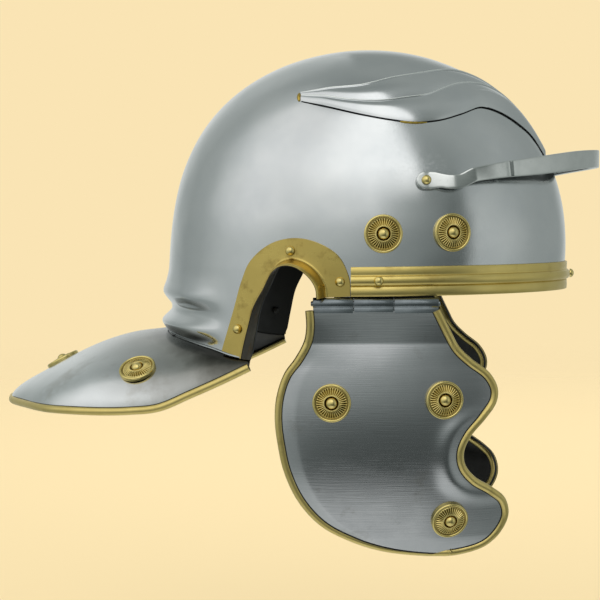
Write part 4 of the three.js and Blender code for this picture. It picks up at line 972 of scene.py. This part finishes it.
class HELMET_OT_hinges(bpy.types.Operator):
    """Cheek guard hinges: rolled knuckles, the fixed leaf inside the skull, and the pin"""
    bl_idname = "helmet.hinges"
    bl_label = "Hinges"
    bl_options = {"REGISTER", "UNDO"}

    def execute(self, context):
        for name, side in SIDES:
            for order, (start, end) in enumerate(CHEEK_KNUCKLES):
                self.knuckle(f"cheek_knuckle_{order + 1}_{name}", start, end, side, f"cheek_{name}",
                             f"cheek_guard_{name}")
            self.knuckle(f"leaf_knuckle_{name}", *LEAF_KNUCKLE, side, "helmet", f"hinge_leaf_{name}")
            start, end = LEAF_KNUCKLE
            box = rounded([(start, 0.4), (end, 0.4), (end, LEAF_TOP), (start, LEAF_TOP)], 2.0, 6)
            walls = [np.full(len(box), -LEAF_SET * side + wall) for wall in (-LEAF_WALL / 2, LEAF_WALL / 2)]
            leaf = np.stack([np.stack([box[:, 0], wall, box[:, 1]], -1) for wall in walls])
            surface(f"leaf_plate_{name}", to_frame(leaf, side), ("black",),
                    ("helmet", "hinge_steel", f"hinge_leaf_{name}"))
            first, last = CHEEK_KNUCKLES[0][0] - PIN_OVERHANG, CHEEK_KNUCKLES[1][1] + PIN_OVERHANG
            profile = [(0, first), (PIN_R - 0.4, first), (PIN_R, first + 0.4), (PIN_R, last - 0.4),
                       (PIN_R - 0.4, last), (0, last)]
            pin = turned_grid(profile, np.zeros(3), np.array([1.0, 0.0, 0.0]), 24)
            surface(f"pin_rod_{name}", to_frame(pin, side), ("hinge",),
                    (f"cheek_{name}", "hinge_steel", f"hinge_pin_{name}"), round_way=True,
                    round_profile=False, weld=True)
        return {"FINISHED"}

    def knuckle(self, name, start, end, side, body, node):
        """A sheet rolled round the pin: its outline is a circle with a straight leg down to the
        cheek plate, shortened for the fixed leaf, carried along the pin."""
        turn = np.radians(np.linspace(-38, 218, 30))
        circle = np.stack([KNUCKLE_R * np.cos(turn), KNUCKLE_R * np.sin(turn)], -1)
        face, back = HINGE_STAND + CHEEK_WALL / 2, HINGE_STAND - CHEEK_WALL / 2
        leg = np.array([(back, -2.2), (back, -5.0), (face, -5.0), (face, -3.4)])
        if body == "helmet":
            leg[:, 1] = np.maximum(leg[:, 1], -4.5)
        outline = np.vstack([circle, leg])
        middle = outline.mean(0)
        stations = np.array([start, start + 0.3, end - 0.3, end])
        inset = np.array([0.94, 1.0, 1.0, 0.94])[:, None, None]
        section = middle + (outline[None] - middle) * inset
        grid = np.stack([np.broadcast_to(stations[:, None], section.shape[:2]), section[..., 0] * side,
                         section[..., 1]], -1)
        surface(name, to_frame(grid, side), ("hinge",), (body, "hinge_steel", node), sharp=40.0)


def rosette_profile():
    """Radius and height of a rosette from its centre hole out: a flat recess, a steep wall, the
    fluted ring, a groove and the rolled rim."""
    recess = [(1.6, 0.0), (1.6, 0.8), (3.2, 0.7), (3.55, 0.8), (3.75, 1.5), (3.8, 2.05), (3.9, 2.25),
              (4.1, 2.28)]
    flutes = [(r, 2.25 - 0.95 * (r - 4.4) / 3.8 + 0.18 * sin(pi * (r - 4.4) / 3.8))
              for r in np.linspace(4.2, 8.2, 16)]
    groove = [(8.35, 1.02), (8.6, 0.85), (8.85, 0.85)]
    rim = [(9.72 + 0.78 * cos(t), 0.9 + 0.85 * sin(t))
           for t in np.linspace(pi * 0.97, -0.1, 12)]
    return np.array(recess + flutes + groove + rim + [(ROSETTE_R - 0.1, -0.5), (1.6, -0.5)])


def flute_waves(count):
    def waves(radius, turn):
        """Flutes: a raised cosine round the ring, fading out at both of its edges."""
        across = smoothstep(radius, 4.1, 4.6) * (1 - smoothstep(radius, 7.8, 8.3))
        return -(0.3 + 0.14 * (radius - 4.0)) * across * (0.5 + 0.5 * np.cos(turn * count)) ** 1.2
    return waves


def rosette_seats():
    """Name, point, normal and body of every rosette."""
    seats = []
    for side_name, side in SIDES:
        for place, x, z in SKULL_ROSETTES:
            point, normal = skull_seat(np.array(x), np.array(z), side, np.array(GAP))
            seats.append((f"{place}_{side_name}", point, normal, "helmet"))
        for place, u, w in CHEEK_ROSETTES:
            e = 0.2
            here = cheek_point(u, w, side)
            normal = unit(np.cross(cheek_point(u + e, w, side) - here, cheek_point(u, w + e, side) - here))
            normal = normal if normal[1] * side > 0 else -normal
            point = to_frame(here + normal * (CHEEK_WALL / 2 + GAP), side)
            seats.append((f"cheek_{place}_{side_name}", point, turn_only(normal, side), f"cheek_{side_name}"))
    grid = neck_grid(NECK_STATIONS, 120)
    normals = grid_normals(grid)
    for place, x, y in NECK_ROSETTES:
        miss = np.hypot(grid[..., 0] - x, grid[..., 1] - y)
        k = np.unravel_index(np.argmin(miss), miss.shape)
        seats.append((f"neck_{place}", grid[k] + normals[k] * (NECK_WALL / 2 + GAP), normals[k], "helmet"))
    return seats


class HELMET_OT_rosettes(bpy.types.Operator):
    """Fluted brass rosettes"""
    bl_idname = "helmet.rosettes"
    bl_label = "Rosettes"
    bl_options = {"REGISTER", "UNDO"}

    def execute(self, context):
        sizes = context.scene.helmet_sizes
        profile = rosette_profile()
        waves, count = flute_waves(sizes.flute_count), sizes.flute_count * 6
        turn = np.linspace(0, 2 * pi, count, endpoint=False)[:, None]
        radius = profile[None, :, 0]
        # Painted shade: darker in proportion to each flute groove's depth, strongly in the centre recess and
        # by half in the groove inside the rim.
        hollow_painted_shade = np.clip(-1.15 * waves(radius, turn), 0, 0.85)
        hollow_painted_shade = np.maximum(hollow_painted_shade, 0.9 * (radius < 3.7) + 0.5 * (np.abs(radius - 8.7) < 0.3))
        for name, point, normal, body in rosette_seats():
            grid = turned_grid(profile, point, normal, count, waves)
            surface(f"fluted_rosette_{name}", grid, ("spun",), (body, "brass", f"rosette_{name}"),
                    round_way=True, sharp=60.0, hollow_painted_shade=hollow_painted_shade)
        return {"FINISHED"}


def rivet_piece(name, point, normal, stack, body, node, radius):
    """Domed rivet: a flattened half-round head, a shank and a hammered tail."""
    turn = np.linspace(pi / 2, 0, 9)
    dome = [(radius * cos(t), 0.2 + radius * 0.85 * sin(t)) for t in turn]
    foot = -stack - 2 * GAP
    tail = [(1.3, foot), (2.1, foot), (2.1, foot - 0.4), (1.6, foot - 0.8), (0, foot - 0.8)]
    profile = dome + [(radius, 0.0), (1.3, 0.0)] + tail
    grid = turned_grid(profile, point + normal * GAP, normal, 28)
    slots = (np.arange(len(profile)) > 10).astype(int)
    surface(name, grid, ("spun", "black"), (body, "brass", node), slots, round_way=True,
            round_profile=False, weld=True, sharp=50.0)


class HELMET_OT_rivets(bpy.types.Operator):
    """Domed brass rivets of the rosettes, ear guards, band and strap"""
    bl_idname = "helmet.rivets"
    bl_label = "Rivets"
    bl_options = {"REGISTER", "UNDO"}

    def execute(self, context):
        sizes = context.scene.helmet_sizes
        radius = sizes.rivet_radius * 1000
        thick = {"neck": NECK_WALL + 0.7, "cheek": CHEEK_WALL + 0.6}
        for name, point, normal, body in rosette_seats():
            stack = thick.get(name.split("_")[0], SKULL_WALL + 0.9) + ROSETTE_SEAT + GAP
            rivet_piece(f"rosette_dome_{name}", point + normal * ROSETTE_SEAT, normal, stack, body,
                        f"rosette_rivet_{name}", radius * 1.2)
        for name, side in SIDES:
            spots = [(f"ear_rivet_{k + 1}", x, z, GAP + EAR_WALL, 0.0) for k, (x, z) in enumerate(EAR_RIVETS)]
            spots.append(("peak_rivet", PEAK_RIVET_X, PEAK_TAB_Z, GAP + PEAK_WALL, 0.0))
            height = rim_height(BAND_RIVET_X) + BEAD_Z
            spots.append(("band_rivet", BAND_RIVET_X, height, GAP + BAND_WALL + BEAD_RISE, 1.9))
            for label, x, z, stand, more in spots:
                point, normal = skull_seat(np.array(x), np.array(z), side, np.array(stand))
                rivet_piece(f"{label}_dome_{name}", point, normal, SKULL_WALL + 0.9 + stand + more, "helmet",
                            f"{label}_{name}", radius)
        x = CENTRE_X + FRONT
        stand = GAP + BAND_WALL + BEAD_RISE
        point = np.array([x + stand, 0.0, rim_height(x) + BEAD_Z])
        rivet_piece("band_rivet_dome_front", point, np.array([1.0, 0.0, 0.0]), SKULL_WALL + 0.9 + stand,
                    "helmet", "band_rivet_front", radius)
        return {"FINISHED"}


# Studio room, by height above the horizon and then by turn from the viewer, both in degrees, with
# how bright it is there: a wide softbox at the front left that ends sharply at its right edge, a
# dim room beside it, a pale sweep behind the helmet and a pale table under it.
STUDIO = (
    (-62, ((-180, .85), (-90, .70), (0, .80), (90, .62), (180, .85))),
    (-49, ((-180, .85), (-120, .50), (-60, .60), (-20, .84), (25, .80), (52, .34), (75, .38), (120, .50),
           (180, .85))),
    (-34, ((-180, .75), (-150, .55), (-110, .36), (-60, .36), (-32, .26), (-20, .12), (0, .09),
           (45, .08), (60, .20), (90, .28), (140, .45), (180, .75))),
    (-20, ((-180, .75), (-150, .58), (-110, .38), (-60, .44), (-32, .32), (-15, .17), (0, .13),
           (45, .12), (55, .38), (75, .45), (95, .36), (140, .48), (180, .75))),
    (-8, ((-180, .78), (-160, .70), (-140, .52), (-115, .38), (-85, .55), (-60, .64), (-30, .60),
          (-10, .38), (10, .30), (38, .14), (46, .14), (53, .60), (70, .58), (95, .42), (130, .38),
          (150, .58), (180, .78))),
    (2, ((-180, .80), (-160, .74), (-145, .54), (-125, .41), (-105, .46), (-85, .62), (-65, .70),
         (-35, .58), (-5, .55), (15, .36), (38, .20), (47, .18), (53, .64), (70, .62), (95, .44),
         (135, .40), (160, .68), (180, .80))),
    (15, ((-180, .82), (-160, .76), (-140, .52), (-125, .44), (-105, .52), (-90, .78), (-70, 1.0),
          (-40, .90), (5, .88), (18, .48), (38, .20), (47, .20), (53, .62), (70, .56), (95, .44),
          (140, .38), (165, .68), (180, .82))),
    (36, ((-180, .60), (-150, .58), (-125, .46), (-110, .52), (-90, .82), (-70, 1.08), (-40, 1.08),
          (-20, 1.28), (0, 1.40), (26, 1.44), (29.5, .38), (45, .34), (62, .42), (90, .50), (120, .42),
          (180, .36))),
    (66, ((-180, .40), (-140, .42), (-110, .62), (-90, .95), (-40, 1.0), (-20, 1.2), (0, 1.40),
          (26, 1.44), (32, .46), (60, .44), (120, .42), (180, .40))),
    (82, ((-180, .36), (0, .40), (180, .36))),
)
ROOM_LIGHT, ROOM_DIM, ROOM_LIT = 1.5, (0.86, 1.0, 0.95), (0.99, 1.0, 0.99)
# Floor: its radius, height, and where it starts and ends thinning out, in metres.
FLOOR_R, FLOOR_Z, FLOOR_FULL, FLOOR_GONE = 5.0, -0.30, 0.7, 3.2
LAMP_PLACE, LAMP_SIZE, LAMP_POWER = (0.0, 1.4, 2.2), 3.0, 39.0
# Camera: place in metres, tilt down and turn in degrees, and focal length.
CAMERA_PLACE, CAMERA_TILT, CAMERA_TURN, CAMERA_LENS = (0.03798, -0.84886, 0.03821), 3.15, 5.526, 83.23


class HELMET_OT_stage(bpy.types.Operator):
    """Pale floor, soft studio light and the camera"""
    bl_idname = "helmet.stage"
    bl_label = "Stage"
    bl_options = {"REGISTER", "UNDO"}

    def execute(self, context):
        scene = context.scene
        scene.view_settings.view_transform = "Standard"
        self.floor(scene)
        self.room(scene)
        light = bpy.data.lights.new("floor_light", "AREA")
        light.shape, light.size, light.energy = "DISK", LAMP_SIZE, LAMP_POWER
        lamp = bpy.data.objects.new("floor_light", light)
        lamp.location = LAMP_PLACE
        lamp.visible_glossy = False
        scene.collection.objects.link(lamp)
        camera = bpy.data.cameras.new("camera")
        camera.lens, camera.sensor_width = CAMERA_LENS, 36.0
        camera.clip_start, camera.clip_end = 0.01, 50.0
        eye = bpy.data.objects.new("camera", camera)
        eye.location = CAMERA_PLACE
        eye.rotation_euler = (radians(90 - CAMERA_TILT), 0.0, radians(CAMERA_TURN))
        scene.collection.objects.link(eye)
        scene.camera = eye
        return {"FINISHED"}

    def floor(self, scene):
        """A round cream floor under the helmet that thins out into the backdrop as a smoothstep of
        the distance from its middle."""
        turn = np.linspace(0, 2 * pi, 97)[:-1]
        disc = np.stack([np.cos(turn) * FLOOR_R, np.sin(turn) * FLOOR_R, np.full(96, FLOOR_Z)], -1)
        mesh = bpy.data.meshes.new("floor")
        mesh.from_pydata(disc.tolist(), [], [list(range(96))])
        floor = bpy.data.objects.new("floor", mesh)
        scene.collection.objects.link(floor)
        cream = bpy.data.materials.new("cream_paper")
        tree = blank_tree(cream)
        place = add(tree, "TexCoord", out="Object")
        far = add(tree, "VectorMath", {0: place}, out="Value", operation="LENGTH")
        share = remap(tree, far, FLOOR_FULL, FLOOR_GONE, interpolation_type="SMOOTHSTEP")
        paper = add(tree, "BsdfDiffuse", {"Color": tint("floor")})
        clear = add(tree, "BsdfTransparent")
        add(tree, "OutputMaterial", {0: add(tree, "MixShader", {0: share, 1: paper, 2: clear})})
        mesh.materials.append(cream)
        floor.visible_glossy = False

    def room(self, scene):
        """The room's light is read off STUDIO by direction; seen directly it is plain cream."""
        world = scene.world = bpy.data.worlds.new("studio")
        tree = blank_tree(world)
        way = add(tree, "VectorRotate", {"Vector": add(tree, "TexCoord", out="Generated"),
                                         "Angle": radians(-CAMERA_TURN)}, rotation_type="Z_AXIS")
        part = add(tree, "SeparateXYZ", {0: way}).node.outputs
        turn = maths(tree, "ARCTAN2", part["X"], maths(tree, "MULTIPLY", part["Y"], -1.0))
        turn = remap(tree, turn, -pi, pi)
        height = maths(tree, "ARCSINE", part["Z"])
        glow = None
        for order, (level, stops) in enumerate(STUDIO):
            ramp = add(tree, "ValToRGB", {0: turn})
            elements = ramp.node.color_ramp.elements
            elements.remove(elements[1])
            for place, (degrees, bright) in enumerate(stops):
                position = (degrees + 180) / 360
                stop = elements.new(position) if place else elements[0]
                stop.position = position
                lit = min(1.0, bright)
                hue = [dim + (full - dim) * lit for dim, full in zip(ROOM_DIM, ROOM_LIT)]
                stop.color = (*[bright * band / ROOM_LIGHT for band in hue], 1.0)
            if order:
                share = remap(tree, height, radians(STUDIO[order - 1][0]), radians(level),
                              interpolation_type="SMOOTHSTEP")
                ramp = blend(tree, share, glow, ramp)
            glow = ramp
        seen = add(tree, "LightPath", out="Is Camera Ray")
        room = add(tree, "Background", {0: glow, 1: ROOM_LIGHT})
        cream = add(tree, "Background", {0: tint("backdrop"), 1: 1.0})
        add(tree, "OutputWorld", {0: add(tree, "MixShader", {0: seen, 1: room, 2: cream})})


class HelmetSizes(bpy.types.PropertyGroup):
    """Sizes a user may change"""
    rim_radius: bpy.props.FloatProperty(name="Rim radius", description="Radius of the rolled brass rims",
                                        default=RIM_RADIUS * MM, unit="LENGTH")
    ear_flange: bpy.props.FloatProperty(name="Ear flange", description="Height of the ear guards' flange",
                                        default=EAR_FLANGE * MM, unit="LENGTH")
    brow_relief: bpy.props.FloatProperty(name="Eyebrow relief", description="Height of the eyebrows' crests",
                                         default=BROW_PROUD * MM, unit="LENGTH")
    rivet_radius: bpy.props.FloatProperty(name="Rivet radius", description="Radius of the domed rivet heads",
                                          default=RIVET_R * MM, unit="LENGTH")
    flute_count: bpy.props.IntProperty(name="Flutes", description="Flutes round each rosette", default=36)


COLOURS = (
    ("skull_steel", "Steel of the skull", "#D8D9D8"),
    ("neck_steel", "Steel of the neck guard", "#E0E2E2"),
    ("cheek_steel", "Steel of the cheek guards", "#C8C9CA"),
    ("sheet_brass", "Brass of the ear guards", "#D4BD6E"),
    ("band_brass", "Brass of the brow band", "#EAD488"),
    ("rim_brass", "Brass of the rolled rims", "#E8D38A"),
    ("rosette_brass", "Brass of the rosettes and rivets", "#EBD892"),
    ("inner_paint", "Paint of the inner faces", "#0C0E0E"),
    ("floor", "Paper under the helmet", "#F9E0B0"),
    ("backdrop", "Tone seen behind the helmet", "#FAE4B4"),
)


class HelmetColours(bpy.types.PropertyGroup):
    """Colours a user may change, each the main tone of its finish"""
    __annotations__ = {key: bpy.props.FloatVectorProperty(
        name=key.replace("_", " ").capitalize(), description=about, default=colour(code), subtype="COLOR",
        size=4, min=0.0, max=1.0) for key, about, code in COLOURS}


class HELMET_PT_parts(bpy.types.Panel):
    """Lists the pieces of the helmet"""
    bl_idname = "HELMET_PT_parts"
    bl_label = "Helmet"
    bl_space_type = "VIEW_3D"
    bl_region_type = "UI"
    bl_category = "Helmet"

    def draw(self, context):
        for group in (context.scene.helmet_sizes, context.scene.helmet_colours):
            for key in type(group).__annotations__:
                self.layout.prop(group, key)
        for operator in OPERATORS:
            self.layout.operator(operator.bl_idname)


OPERATORS = (HELMET_OT_skull, HELMET_OT_neck_guard, HELMET_OT_eyebrows, HELMET_OT_ear_guards,
             HELMET_OT_brow_band, HELMET_OT_peak_strap, HELMET_OT_cheek_guards, HELMET_OT_hinges,
             HELMET_OT_rosettes, HELMET_OT_rivets, HELMET_OT_stage)
CLASSES = (HelmetSizes, HelmetColours, *OPERATORS, HELMET_PT_parts)


def register():
    for entry in CLASSES:
        bpy.utils.register_class(entry)
    bpy.types.Scene.helmet_sizes = bpy.props.PointerProperty(type=HelmetSizes)
    bpy.types.Scene.helmet_colours = bpy.props.PointerProperty(type=HelmetColours)


def unregister():
    del bpy.types.Scene.helmet_sizes, bpy.types.Scene.helmet_colours
    for entry in reversed(CLASSES):
        bpy.utils.unregister_class(entry)


def main():
    register()
    for operator in OPERATORS:
        group, call = operator.bl_idname.split(".")
        getattr(getattr(bpy.ops, group), call)()


if __name__ == "__main__":
    main()
